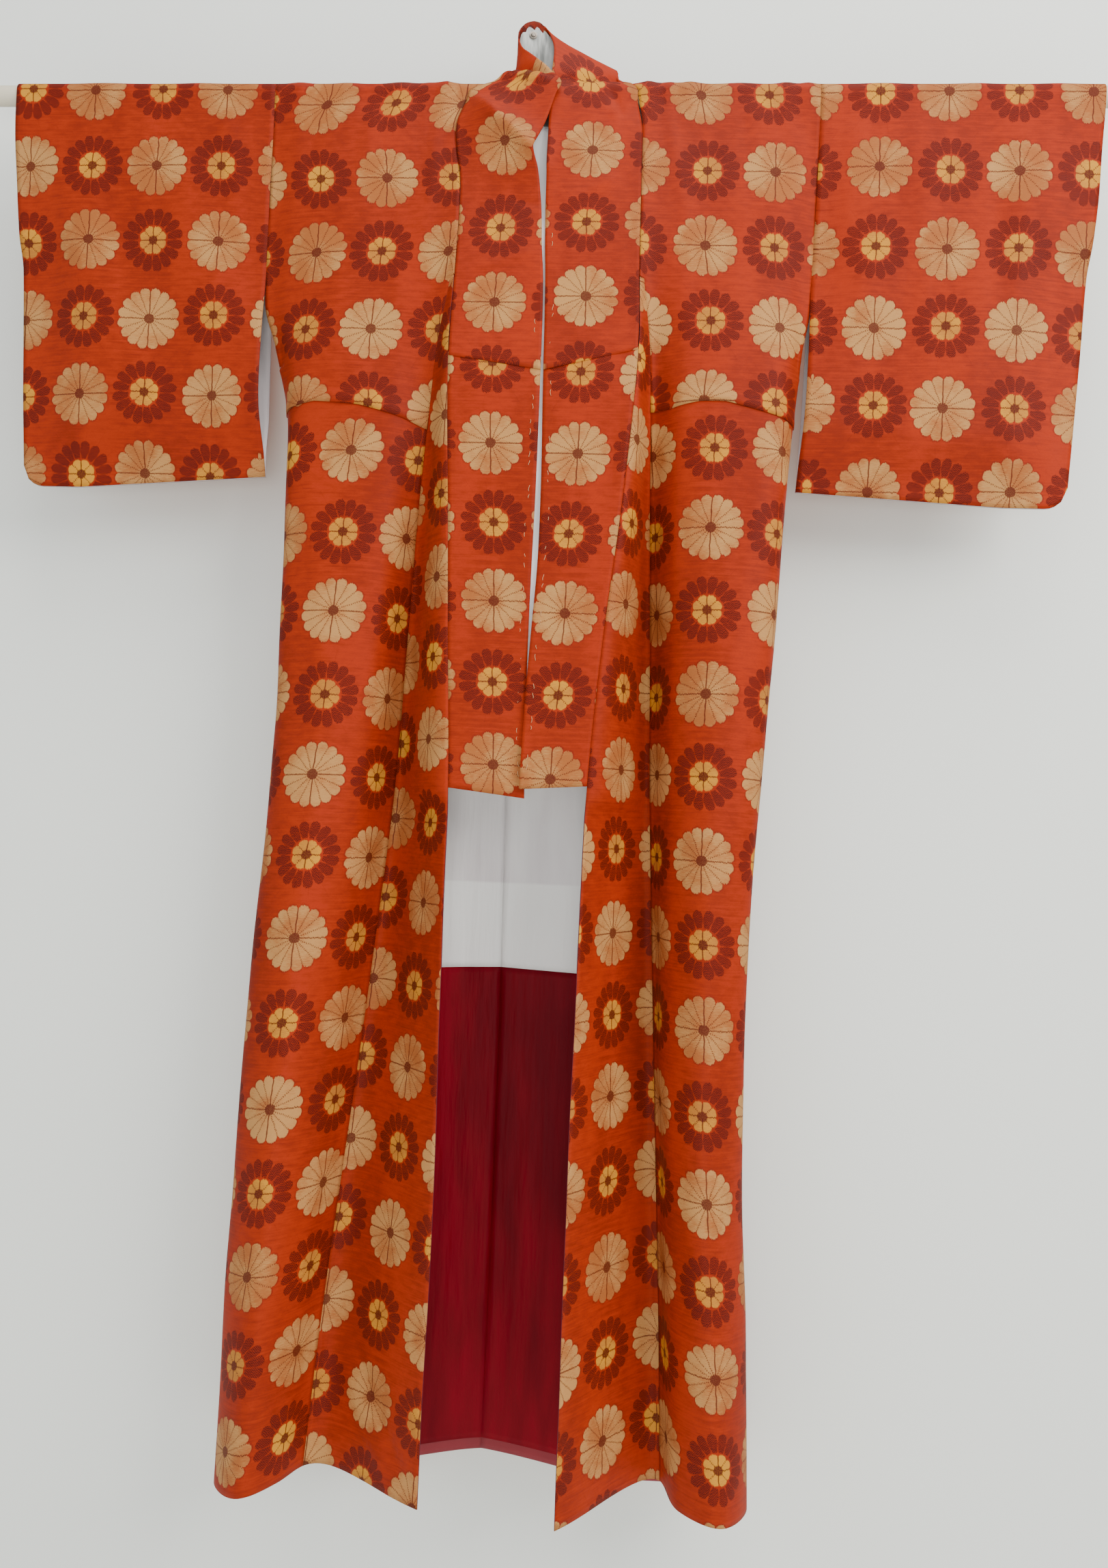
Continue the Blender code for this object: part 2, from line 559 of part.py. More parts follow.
def collar_grid(side, drops, places):
    """Middle points and normals of a stretch of collar on the front."""
    points, normals = [], []
    for drop in drops:
        row, row_normals = [], []
        for share in places:
            place = 3 * share
            spot, along = collar_section(side, drop).at(place, (0, 3.5))
            above = collar_section(side, drop - STEP).at(place, (0, 3.5))[0]
            below = collar_section(side, drop + STEP).at(place, (0, 3.5))[0]
            down = np.array([below[0] - above[0], below[1] - above[1], -2 * STEP])
            row.append((spot[0], spot[1], -drop))
            row_normals.append(normal_of((along[0], along[1], 0.0), down, sign_of(side)))
        points.append(row)
        normals.append(row_normals)
    return np.array(points), np.array(normals)


def make_lower_collar(side):
    drops = (LOWER_COLLAR_DROPS[0] + SEAM_GAP / 2, *LOWER_COLLAR_DROPS[1:])
    points, normals = collar_grid(side, drops, COLLAR_PLACES)
    wall(f"collar_{side}", points, normals, WALL, "collar_cloth")


def neck_station(row):
    """Seam edge, free edge and corner of the over-collar at a station of the neck."""
    side, drop, x, free_x, free_y, free_z, corner = row
    clear = np.array([1.0, 1 + NECK_LIFT / WRAP_RADIUS, 1 + NECK_LIFT / WRAP_RADIUS])
    if side == "back":
        seam = on_rod(x, drop, True) * clear
    elif drop <= 0:
        seam = on_rod(neck_edge_x(side, drop), drop) * clear
    else:
        edge = front_controls(side, drop)[0]
        seam = np.array([edge[0], edge[1], -drop])
    return seam, np.array([free_x, free_y, free_z]), corner


def over_collar_stations():
    """All stations of the over-collar, from its left end round the neck to its right end."""
    stations = []
    for drop in OVER_COLLAR_DROPS[::-1]:
        stations.append(front_station("left", drop))
    stations += [neck_station(row) for row in NECK]
    for drop in OVER_COLLAR_DROPS:
        stations.append(front_station("right", drop))
    return stations


def front_station(side, drop):
    edge = front_controls(side, drop)[0]
    inner = inner_edge(side, drop)
    return np.array([edge[0], edge[1], -drop]), np.array([inner[0], inner[1], -drop]), 0.0


def over_collar_grid():
    """Middle points and outward normals of the whole over-collar, one row for each station."""
    points = []
    for seam, free, corner in over_collar_stations():
        direction = (free - seam) / np.linalg.norm(free - seam)
        start = seam + direction * (NECK_EASE if seam[2] > NECK_FOOT else SEAM_GAP)
        outward = np.array([CORNER_LEAN * corner, 0.0, corner])
        fullness = np.interp(COLLAR_PLACES, (0.0, CORNER_SHARE, 1.0), (0.0, 1.0, 0.0))
        row = [start + (free - start) * share + outward * k for share, k in zip(COLLAR_PLACES, fullness)]
        points.append(row)
    points = np.array(points)
    along = np.gradient(points, axis=0)
    across = np.gradient(points, axis=1)
    normals = np.cross(along, across)
    normals /= np.linalg.norm(normals, axis=2, keepdims=True)
    if normals[0, 2, 1] > 0:
        normals = -normals
    return points, normals


def make_over_collar(points, normals):
    """Three stretches that meet at the front of the rod, each a seam gap from the next."""
    first, last = (len(OVER_COLLAR_DROPS) + i for i, row in enumerate(NECK) if row[1] == 0.0)
    cuts = {"left": (0, first), "neck": (first, last), "right": (last, len(points) - 1)}
    for name, (start, stop) in cuts.items():
        stretch = points[start : stop + 1].copy()
        stretch[0] += shift_towards(stretch[0], stretch[1])
        stretch[-1] += shift_towards(stretch[-1], stretch[-2])
        wall(f"over_collar_{name}", stretch, normals[start : stop + 1], WALL, "collar_cloth")


def shift_towards(line, other):
    step = other - line
    return step / np.linalg.norm(step, axis=1, keepdims=True) * SEAM_GAP / 2


def behind_stations():
    """First and last of the over-collar's rows that stand behind the rod."""
    behind = [i for i, row in enumerate(NECK) if row[0] == "back"]
    return len(OVER_COLLAR_DROPS) + behind[1], len(OVER_COLLAR_DROPS) + behind[-2]


def make_neck_lining(points, normals):
    """The pale inside of the standing collar, from its left turn to its right one."""
    first, last = behind_stations()
    stretch = points[first : last + 1] - normals[first : last + 1] * LINING_INSET
    low = stretch[:, :1] + (stretch[:, 1:2] - stretch[:, :1]) * NECK_LINING_FOOT
    stretch = np.concatenate([low, stretch[:, 1:]], axis=1)
    wall("collar_lining_neck", stretch, normals[first : last + 1], LINING_WALL, "pale_lining")


def make_slot_lining():
    """The edge of pale lining that shows in the narrow slot between the two collars."""
    points, normals = [], []
    for drop in SLOT_DROPS:
        inner = inner_edge("left", drop)
        behind = inner[1] + LINING_INSET + SEAM_GAP
        points.append([(inner[0] + shift, behind, -drop) for shift in SLOT_SHIFTS])
        normals.append([(0, -1, 0)] * len(SLOT_SHIFTS))
    wall("collar_lining_left", np.array(points), np.array(normals, float), LINING_WALL, "pale_lining")


def make_snap(points, normals):
    """A round snap sewn to the neck lining."""
    station = sum(behind_stations()) // 2
    base = points[station, 0] + (points[station, -1] - points[station, 0]) * SNAP_SHARE
    normal = -normals[station, 3]
    base = base + normal * (LINING_INSET + LINING_WALL / 2 + SNAP_GAP)
    side_way = np.cross(normal, (0, 0, 1))
    side_way /= np.linalg.norm(side_way)
    up_way = np.cross(side_way, normal)
    mesh = bmesh.new()
    rings = []
    for radius, height in SNAP_PROFILE:
        ring = []
        for i in range(SNAP_SIDES):
            angle = 2 * math.pi * i / SNAP_SIDES
            out = side_way * math.cos(angle) + up_way * math.sin(angle)
            ring.append(mesh.verts.new(base + out * radius * SNAP_RADIUS + normal * height * SNAP_HEIGHT))
        rings.append(ring)
    for low, high in zip(rings, rings[1:]):
        for i in range(SNAP_SIDES):
            j = (i + 1) % SNAP_SIDES
            mesh.faces.new((low[i], low[j], high[j], high[i]))
    mesh.faces.new(rings[0])
    mesh.faces.new(rings[-1])
    bmesh.ops.recalc_face_normals(mesh, faces=mesh.faces)
    add_object("collar_snap", mesh, "snap_metal")


def sleeve_bottom(side, place, width):
    """Drop of the sleeve's bottom, round at its outer corner."""
    inner, outer = SLEEVE_BOTTOM[side]
    bottom = inner + (outer - inner) * min(1.0, place * SLEEVE_BOTTOM_SLOPE)
    reach = (1 - place) * width
    if reach < SLEEVE_CORNER:
        bottom -= SLEEVE_CORNER - math.sqrt(SLEEVE_CORNER**2 - (SLEEVE_CORNER - reach) ** 2)
    return bottom


def sleeve_gap(side, place, drop, bottom, width):
    """Half the distance between the sleeve's front and back."""
    inner_gap = follow(SLEEVES[side], drop)[2]
    height, count, phase = SLEEVE_WAVES[side]
    wave = height * math.sin(2 * math.pi * (count * place + SLEEVE_WAVE_DROP * drop / bottom) + phase)
    full = SLEEVE_FULLNESS + wave
    gap = WRAP_RADIUS + (full - WRAP_RADIUS) * smooth_step(drop, 0.0, SLEEVE_SWELL_DROP)
    from_inner = place * width
    gap = inner_gap + (gap - inner_gap) * smooth_step(from_inner, 0.0, SLEEVE_INNER_SWELL)
    from_outer = (1 - place) * width
    cuff = WRAP_RADIUS + (CUFF_OPEN - WRAP_RADIUS) * smooth_step(drop, 0.0, CUFF_NARROWING)
    cuff += (SLEEVE_CLOSED - cuff) * smooth_step(drop, CUFF_END - CUFF_CLOSING, CUFF_END)
    gap = cuff + (gap - cuff) * smooth_step(from_outer, 0.0, SLEEVE_OUTER_SWELL)
    return SLEEVE_CLOSED + (gap - SLEEVE_CLOSED) * smooth_step(bottom - drop, 0.0, SLEEVE_BOTTOM_SWELL)


def sleeve_point(side, place, share, behind):
    """A point of a sleeve sheet; a share below 0 is on the rod, as a part of the quarter turn."""
    top = follow(SLEEVES[side], 0.0)
    if share < 0:
        x = top[1] + (top[0] - top[1]) * place + sign_of(side) * SEAM_GAP / 2 * (1 - place)
        return on_rod(x, share * QUARTER, behind)
    width = abs(top[0] - top[1])
    bottom = sleeve_bottom(side, place, width)
    drop = share * bottom
    outer, inner, _ = follow(SLEEVES[side], drop)
    inner += sign_of(side) * SEAM_GAP / 2
    gap = sleeve_gap(side, place, drop, bottom, width)
    return np.array([inner + (outer - inner) * place, gap if behind else -gap, -drop])


def make_sleeve(side, behind):
    """One face of a sleeve, from the rod's top to its bottom seam."""
    shares = (-0.985, -0.75, -0.5, -0.25) + SLEEVE_SHARES
    turn = sign_of(side) if behind else -sign_of(side)
    points, normals = [], []
    for share in shares:
        row, row_normals = [], []
        for place in SLEEVE_PLACES:
            spot = sleeve_point(side, place, share, behind)
            low, high = max(place - SLEEVE_STEP, 0.0), min(place + SLEEVE_STEP, 1.0)
            across = sleeve_point(side, high, share, behind) - sleeve_point(side, low, share, behind)
            if share < 0 or share == 1.0:
                upper, lower = share - SLEEVE_STEP, share
            else:
                upper, lower = share, share + SLEEVE_STEP
            down = sleeve_point(side, place, lower, behind) - sleeve_point(side, place, upper, behind)
            row.append(spot)
            row_normals.append(normal_of(across, down, turn))
        points.append(row)
        normals.append(row_normals)
    face = "back" if behind else "front"
    wall(f"sleeve_{side}_{face}", np.array(points), np.array(normals), WALL, "figured_cloth")


def main():
    for obj in list(bpy.data.objects):
        bpy.data.objects.remove(obj)
    make_rod()
    upper = [drop for drop in BACK_DROPS if LINING_TOP <= drop < LINING_CHANGE]
    upper.append(LINING_CHANGE - SEAM_GAP / 2)
    lower = [LINING_CHANGE + SEAM_GAP / 2]
    lower += [drop for drop in BACK_DROPS if LINING_CHANGE < drop < HEM]
    lower.append(LINING_HEM)
    for side in ("left", "right"):
        make_front(side)
        make_overlap(side)
        make_back(side)
        make_lower_collar(side)
        make_lining(side, "upper", upper, "pale_lining")
        make_lining(side, "lower", lower, "crimson_lining")
        for behind in (False, True):
            make_sleeve(side, behind)
    points, normals = over_collar_grid()
    make_over_collar(points, normals)
    make_neck_lining(points, normals)
    make_slot_lining()
    make_snap(points, normals)


main()
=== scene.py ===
"""The looks of a lined kimono that hangs on a round rod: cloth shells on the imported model's form.

Metres, +Z up, the garment's front facing -Y. Left and right are as the viewer sees them. A drop is a
distance below the rod's axis; negative drops run up the rod to its top. Distances across a panel are
measured along its own surface.
"""
import math

import bmesh
import bpy
import numpy as np
from mathutils import Matrix, Vector


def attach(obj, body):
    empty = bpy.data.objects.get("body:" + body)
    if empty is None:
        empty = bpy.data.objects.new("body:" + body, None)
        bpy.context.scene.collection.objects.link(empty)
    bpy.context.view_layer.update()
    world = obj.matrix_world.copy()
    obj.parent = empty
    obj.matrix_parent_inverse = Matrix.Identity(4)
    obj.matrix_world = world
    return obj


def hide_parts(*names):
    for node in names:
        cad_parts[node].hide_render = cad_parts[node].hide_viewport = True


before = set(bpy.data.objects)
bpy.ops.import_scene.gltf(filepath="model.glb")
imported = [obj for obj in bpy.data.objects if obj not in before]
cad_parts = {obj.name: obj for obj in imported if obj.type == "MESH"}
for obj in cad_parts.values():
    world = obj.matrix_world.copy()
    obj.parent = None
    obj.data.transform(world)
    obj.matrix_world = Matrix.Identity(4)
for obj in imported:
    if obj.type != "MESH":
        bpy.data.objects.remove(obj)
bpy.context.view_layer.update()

# Sizes shared with the solids
ROD_RADIUS = 0.0115
WALL = 0.0016
FIT_GAP = 0.0003
SEAM_GAP = 0.0004
WRAP_RADIUS = ROD_RADIUS + FIT_GAP + WALL / 2
QUARTER = WRAP_RADIUS * math.pi / 2
HEM = 1.62
OVERLAP_TOP = 0.24
SLEEVE_JOIN = 0.245
SIDE_SLIT_END = 0.38
OVER_COLLAR_END = 0.345
COLLAR_END = 0.838
LINING_CHANGE = 1.042
LINING_TOP = 0.12
LINING_HEM = 1.606
SLEEVE_CORNER = 0.025
SLEEVE_FULLNESS = 0.0175
SLEEVE_CLOSED = 0.00095
CUFF_END = 0.215
CUFF_OPEN = 0.0085
# Drops over which a sleeve swells, its cuff narrows and shuts, and its bottom shuts
SLEEVE_SWELLING = 0.12
CUFF_NARROWING = 0.10
CUFF_SHUTTING = 0.04
BOTTOM_SHUTTING = 0.085
# How far the forms of a sleeve's inner edge and cuff reach across it
INNER_REACH = 0.07
CUFF_REACH = 0.09
NECKLINE_SHARE = 0.15
NECKLINE_SLOPE = 0.05
NECKLINE_EASE = 0.009
NECK_LIFT = 0.0010
NECK_EASE = 0.0016
NECK_FOOT = -0.020
CORNER_SHARE = 0.12
CORNER_LEAN = 1.25

# Shells. Columns: how far the outer and the inner face lie from the middle surface, points across.
CLOTHS = {
    "body": (0.0008, 0.0003, 50),
    "overlap": (0.0008, 0.0003, 26),
    "sleeve": (0.0008, 0.0001, 52),
    "collar": (0.0009, 0.0007, 22),
    "over_collar": (0.0009, 0.0006, 30),
    "lining": (0.0002, 0.0003, 36),
    "slot_lining": (0.0002, 0.0003, 8),
    "neck_lining": (0.0002, 0.0002, 30),
}
# Rough widths, over which creases fade to the sewn edges
PANEL_WIDTH = 0.3
OVERLAP_WIDTH = 0.14
COLLAR_WIDTH = 0.10
# Distance between rows, rows over a quarter of the rod, and rows of a sleeve below it
SPACING = 0.0065
COLLAR_SPACING = 0.006
LINING_SPACING = 0.008
OVER_COLLAR_SPACING = 0.0042
NECK_LINING_SPACING = 0.003
ARC_ROWS = 8
SLEEVE_ROWS = 78
# A shell's materials: outer face, inner face and rolled edge
OUTER, INNER, ROLLED = 0, 1, 2

# Sections of each half's front, as (x, y) places at each drop
# Columns of the inner ones: drop, edge, valley, slope. Columns of the outer ones: drop, crest, side, seam.
LEFT_INNER = (
    (0.00, (-0.088, -0.0126), (-0.094, -0.0126), (-0.170, -0.0126)),
    (0.04, (-0.100, -0.018), (-0.106, -0.0175), (-0.170, -0.0165)),
    (0.12, (-0.093, -0.029), (-0.099, -0.028), (-0.170, -0.025)),
    (0.24, (-0.093, -0.043), (-0.098, -0.039), (-0.165, -0.034)),
    (0.31, (-0.095, -0.049), (-0.110, -0.034), (-0.165, -0.038)),
    (0.38, (-0.093, -0.055), (-0.117, -0.028), (-0.162, -0.042)),
    (0.50, (-0.087, -0.058), (-0.128, -0.014), (-0.162, -0.040)),
    (0.65, (-0.080, -0.062), (-0.138, 0.004), (-0.168, -0.037)),
    (0.84, (-0.071, -0.068), (-0.149, 0.018), (-0.180, -0.033)),
    (1.00, (-0.070, -0.072), (-0.162, 0.013), (-0.192, -0.035)),
    (1.15, (-0.068, -0.076), (-0.175, 0.006), (-0.203, -0.038)),
    (1.30, (-0.066, -0.081), (-0.189, -0.002), (-0.214, -0.043)),
    (1.45, (-0.068, -0.085), (-0.202, -0.012), (-0.224, -0.048)),
    (1.62, (-0.069, -0.088), (-0.214, -0.020), (-0.235, -0.056)),
)
LEFT_OUTER = (
    (0.00, (-0.235, -0.0126), (-0.290, -0.0126), (-0.325, -0.0126)),
    (0.04, (-0.235, -0.0165), (-0.290, -0.015), (-0.325, -0.0122)),
    (0.12, (-0.235, -0.025), (-0.290, -0.020), (-0.326, -0.011)),
    (0.24, (-0.235, -0.034), (-0.292, -0.024), (-0.326, -0.011)),
    (0.31, (-0.235, -0.040), (-0.288, -0.027), (-0.311, -0.011)),
    (0.38, (-0.230, -0.046), (-0.284, -0.029), (-0.295, -0.004)),
    (0.50, (-0.222, -0.050), (-0.283, -0.030), (-0.285, 0.006)),
    (0.65, (-0.224, -0.052), (-0.282, -0.031), (-0.281, 0.010)),
    (0.84, (-0.230, -0.056), (-0.286, -0.032), (-0.283, 0.014)),
    (1.00, (-0.239, -0.062), (-0.294, -0.034), (-0.289, 0.018)),
    (1.15, (-0.246, -0.068), (-0.300, -0.034), (-0.293, 0.021)),
    (1.30, (-0.252, -0.073), (-0.304, -0.034), (-0.296, 0.024)),
    (1.45, (-0.257, -0.078), (-0.309, -0.032), (-0.299, 0.027)),
    (1.62, (-0.263, -0.081), (-0.313, -0.030), (-0.301, 0.030)),
)
RIGHT_INNER = (
    (0.00, (0.112, -0.0126), (0.118, -0.0126), (0.180, -0.0126)),
    (0.04, (0.118, -0.018), (0.124, -0.0175), (0.180, -0.0165)),
    (0.12, (0.120, -0.029), (0.126, -0.028), (0.182, -0.025)),
    (0.24, (0.122, -0.043), (0.127, -0.038), (0.180, -0.034)),
    (0.31, (0.124, -0.049), (0.136, -0.030), (0.180, -0.038)),
    (0.38, (0.121, -0.055), (0.140, -0.022), (0.178, -0.042)),
    (0.50, (0.112, -0.058), (0.144, -0.004), (0.176, -0.040)),
    (0.65, (0.097, -0.062), (0.150, 0.010), (0.178, -0.036)),
    (0.84, (0.084, -0.068), (0.157, 0.020), (0.182, -0.032)),
    (1.00, (0.082, -0.074), (0.165, 0.020), (0.186, -0.034)),
    (1.15, (0.080, -0.078), (0.173, 0.017), (0.191, -0.038)),
    (1.30, (0.080, -0.083), (0.181, 0.012), (0.198, -0.043)),
    (1.45, (0.080, -0.089), (0.189, 0.005), (0.206, -0.049)),
    (1.62, (0.081, -0.097), (0.196, 0.000), (0.215, -0.054)),
)
RIGHT_OUTER = (
    (0.00, (0.240, -0.0126), (0.292, -0.0126), (0.326, -0.0126)),
    (0.04, (0.240, -0.0165), (0.292, -0.015), (0.326, -0.0122)),
    (0.12, (0.240, -0.025), (0.290, -0.020), (0.325, -0.011)),
    (0.24, (0.240, -0.034), (0.290, -0.024), (0.322, -0.011)),
    (0.31, (0.242, -0.040), (0.294, -0.027), (0.314, -0.011)),
    (0.38, (0.240, -0.046), (0.296, -0.029), (0.308, -0.004)),
    (0.50, (0.236, -0.050), (0.294, -0.030), (0.297, 0.006)),
    (0.65, (0.232, -0.054), (0.288, -0.032), (0.287, 0.010)),
    (0.84, (0.226, -0.056), (0.277, -0.034), (0.275, 0.014)),
    (1.00, (0.224, -0.060), (0.270, -0.034), (0.266, 0.018)),
    (1.15, (0.225, -0.064), (0.268, -0.034), (0.262, 0.021)),
    (1.30, (0.230, -0.069), (0.272, -0.034), (0.265, 0.024)),
    (1.45, (0.242, -0.074), (0.283, -0.032), (0.275, 0.027)),
    (1.62, (0.254, -0.079), (0.291, -0.030), (0.284, 0.030)),
)
TABLES = {"left": (LEFT_INNER, LEFT_OUTER), "right": (RIGHT_INNER, RIGHT_OUTER)}
# Extra length at the hem for the front's six controls, then the back's three beyond the seam
HEM_EXTRA = {
    "left": (-0.001, -0.001, 0.001, 0.004, 0.018, 0.024, 0.026, 0.028, 0.012),
    "right": (0.005, -0.003, -0.001, 0.000, 0.008, 0.018, 0.022, 0.024, 0.012),
}
# Columns: drop, y of the panel's middle, x and y of the centre seam
BACK = (
    (0.00, 0.0126, -0.018, 0.0126),
    (0.04, 0.0135, -0.018, 0.0135),
    (0.12, 0.0165, -0.017, 0.0170),
    (0.24, 0.0225, -0.017, 0.0235),
    (0.38, 0.0300, -0.017, 0.0315),
    (0.60, 0.0360, -0.017, 0.0390),
    (0.84, 0.0400, -0.017, 0.0450),
    (1.15, 0.0440, -0.015, 0.0540),
    (1.62, 0.0450, -0.018, 0.0690),
)
# Columns: drop, y of the back's edge at the side
BACK_SEAM = ((0.00, 0.0126), (0.12, 0.0120), (0.24, 0.0125), (0.31, 0.0110), (0.38, -0.0030))
# x of the neckline on the rod: in front, half way up, on top, and half way down behind
NECK_CORNERS = {"left": (-0.088, -0.066, -0.046, -0.037), "right": (0.112, 0.102, 0.085, 0.066)}
# Free edges of the collars. Columns: drop, left x, right x, how far the left and the right lie back
FREE_EDGES = (
    (0.16, 0.0050, 0.0095, 0.000, 0.000),
    (0.24, 0.0105, 0.0130, 0.000, 0.000),
    (0.31, 0.0125, 0.0150, 0.000, 0.000),
    (0.38, 0.0130, 0.0165, 0.000, 0.000),
    (0.50, 0.0130, 0.0190, 0.000, 0.000),
    (0.58, 0.0120, 0.0185, 0.001, 0.000),
    (0.65, 0.0115, 0.0150, 0.002, -0.001),
    (0.74, 0.0120, 0.0110, 0.004, -0.002),
    (0.84, 0.0145, 0.0085, 0.005, -0.003),
)
# Stations of the over-collar round the neck, from the left front over the rod, across the back and
# forward again. Columns: side, drop on the half's edge where the strip is sewn on, x of that place behind
# the rod, free edge's x, y and z, and how far the strip stands out in a corner near its seam.
NECK = (
    ("left", 0.110, None, -0.0010, -0.0315, -0.1080, 0.000),
    ("left", 0.076, None, -0.0055, -0.0310, -0.0860, 0.000),
    ("left", 0.042, None, 0.0070, -0.0310, -0.0460, 0.000),
    ("left", 0.016, None, 0.0160, -0.0310, -0.0160, 0.000),
    ("left", 0.0000, None, 0.0210, -0.0295, 0.0015, 0.000),
    ("left", -0.0050, None, 0.0115, -0.0250, 0.0130, 0.000),
    ("left", -0.0100, None, 0.0020, -0.0200, 0.0255, 0.000),
    ("left", -0.0150, None, -0.0090, -0.0155, 0.0365, 0.000),
    ("left", -0.0198, None, -0.0195, -0.0110, 0.0470, 0.000),
    ("back", -0.0150, -0.0415, -0.0285, -0.0060, 0.0565, 0.000),
    ("back", -0.0100, -0.0370, -0.0335, -0.0010, 0.0690, 0.000),
    ("back", -0.0065, -0.0315, -0.0345, 0.0060, 0.0840, 0.000),
    ("back", -0.0030, -0.0240, -0.0310, 0.0130, 0.0965, 0.000),
    ("back", -0.0030, -0.0060, -0.0215, 0.0175, 0.1045, 0.000),
    ("back", -0.0030, 0.0180, -0.0130, 0.0185, 0.1045, 0.000),
    ("back", -0.0030, 0.0420, -0.0070, 0.0180, 0.1005, 0.002),
    ("back", -0.0065, 0.0560, -0.0040, 0.0170, 0.0965, 0.004),
    ("back", -0.0100, 0.0660, -0.0015, 0.0155, 0.0925, 0.006),
    ("back", -0.0150, 0.0760, 0.0010, 0.0135, 0.0875, 0.008),
    ("right", -0.0198, None, 0.0040, 0.0095, 0.0795, 0.009),
    ("right", -0.0150, None, 0.0075, 0.0035, 0.0685, 0.004),
    ("right", -0.0100, None, 0.0095, -0.0045, 0.0550, 0.000),
    ("right", -0.0050, None, 0.0100, -0.0120, 0.0400, -0.001),
    ("right", 0.0000, None, 0.0095, -0.0185, 0.0245, 0.000),
    ("right", 0.016, None, 0.0087, -0.0245, -0.0030, 0.000),
    ("right", 0.050, None, 0.0085, -0.0270, -0.0480, 0.000),
    ("right", 0.100, None, 0.0085, -0.0290, -0.1000, 0.000),
)
OVER_COLLAR_DROPS = (0.160, 0.200, 0.236, 0.280)
# Drops of the over-collar's ends and of the collars' ends, at the sewn edge and at the free one
OVER_COLLAR_ENDS = {"left": (0.337, 0.353), "right": (0.327, 0.353)}
COLLAR_ENDS = {"left": (0.835, 0.844), "right": (0.828, 0.834)}
# The tucks across the fronts. Columns: x, drop.
TUCKS = {
    "left": ((-0.283, 0.395), (-0.251, 0.390), (-0.197, 0.395), (-0.146, 0.406), (-0.115, 0.416)),
    "right": ((0.164, 0.389), (0.196, 0.384), (0.226, 0.384), (0.264, 0.392), (0.298, 0.399)),
}
TUCK_DROP = 0.392
TUCK_STEP = 0.0014
TUCK_LAP = 0.006
TUCK_REACH = 0.09
# Above the overlap's top: where the front's edge steps to the overlap's seam, the front's rows on both
# sides of that step, and the overlap's first row
FRONT_STEP = 0.0020
FRONT_STEP_ROWS = (0.0024, 0.0016)
OVERLAP_START = 0.0012
# Rows of the back over the rod, as shares of a quarter of it
BACK_ARC_SHARES = (1.0, 0.85, 0.7, 0.6, 0.5, 0.4, 0.3, NECKLINE_SHARE + NECKLINE_SLOPE, NECKLINE_SHARE)
# How far the over-collar's ends stand out, and how much the collars curve back to their free edges
OVER_COLLAR_STEP = 0.0012
COLLAR_BEND = 0.02
# The lower collar: its lap under the over-collar's end, and the drops over which its ends turn aslant
COLLAR_LAP = 0.004
COLLAR_SLANT = 0.08
# Stations where the left flap's ridge leaves the sewn edge and where it meets the free edge
RIDGE_DROPS = (-0.0150, 0.0)
# Drop from which the pale lining is whiter, as on its lower stretch in the photograph
PALE_WHITER = 0.945
# Linings: how far the back's lies inside it; the neck's part along the strip and across it, and its
# distance from the strip; the slot's drops, place and width
LINING_GAP = 0.0021
NECK_LINING_PAST = 0.012
NECK_LINING_START = 0.08
NECK_LINING_TOP = 0.84
NECK_LINING_GAP = 0.0014
SLOT_TOP = 0.050
SLOT_FOOT = 0.825
SLOT_INSET = 0.021
SLOT_WIDTH = 0.033
SLOT_GAP = 0.0026
SLOT_DEPTH = 0.010
# Columns: drop, x of the outer edge, x of the inner edge, half the opening at the inner edge
SLEEVES = {
    "left": (
        (0.000, -0.647, -0.325, 0.0126),
        (0.060, -0.647, -0.325, 0.0120),
        (0.120, -0.642, -0.326, 0.0112),
        (0.225, -0.632, -0.326, 0.0112),
        (0.300, -0.628, -0.326, 0.0190),
        (0.380, -0.624, -0.325, 0.0215),
        (0.440, -0.620, -0.321, 0.0160),
        (0.485, -0.617, -0.317, 0.0010),
    ),
    "right": (
        (0.000, 0.652, 0.326, 0.0126),
        (0.060, 0.650, 0.326, 0.0120),
        (0.120, 0.648, 0.325, 0.0112),
        (0.225, 0.638, 0.322, 0.0112),
        (0.300, 0.634, 0.321, 0.0150),
        (0.380, 0.629, 0.319, 0.0155),
        (0.440, 0.625, 0.315, 0.0120),
        (0.485, 0.622, 0.312, 0.0010),
    ),
}
# Drop of a sleeve's bottom at its inner and its outer edge
SLEEVE_BOTTOM = {"left": (0.468, 0.485), "right": (0.473, 0.486)}
# Columns: height, count and phase of a sleeve's waves
SLEEVE_WAVES = {"left": (0.0022, 2.1, 0.6), "right": (0.0022, 1.8, 2.4)}

# The woven figure: flower rounds on a chequered lattice of gold and dark ones
ROW_PITCH = 0.0935
COLUMN_PITCH = 0.0805
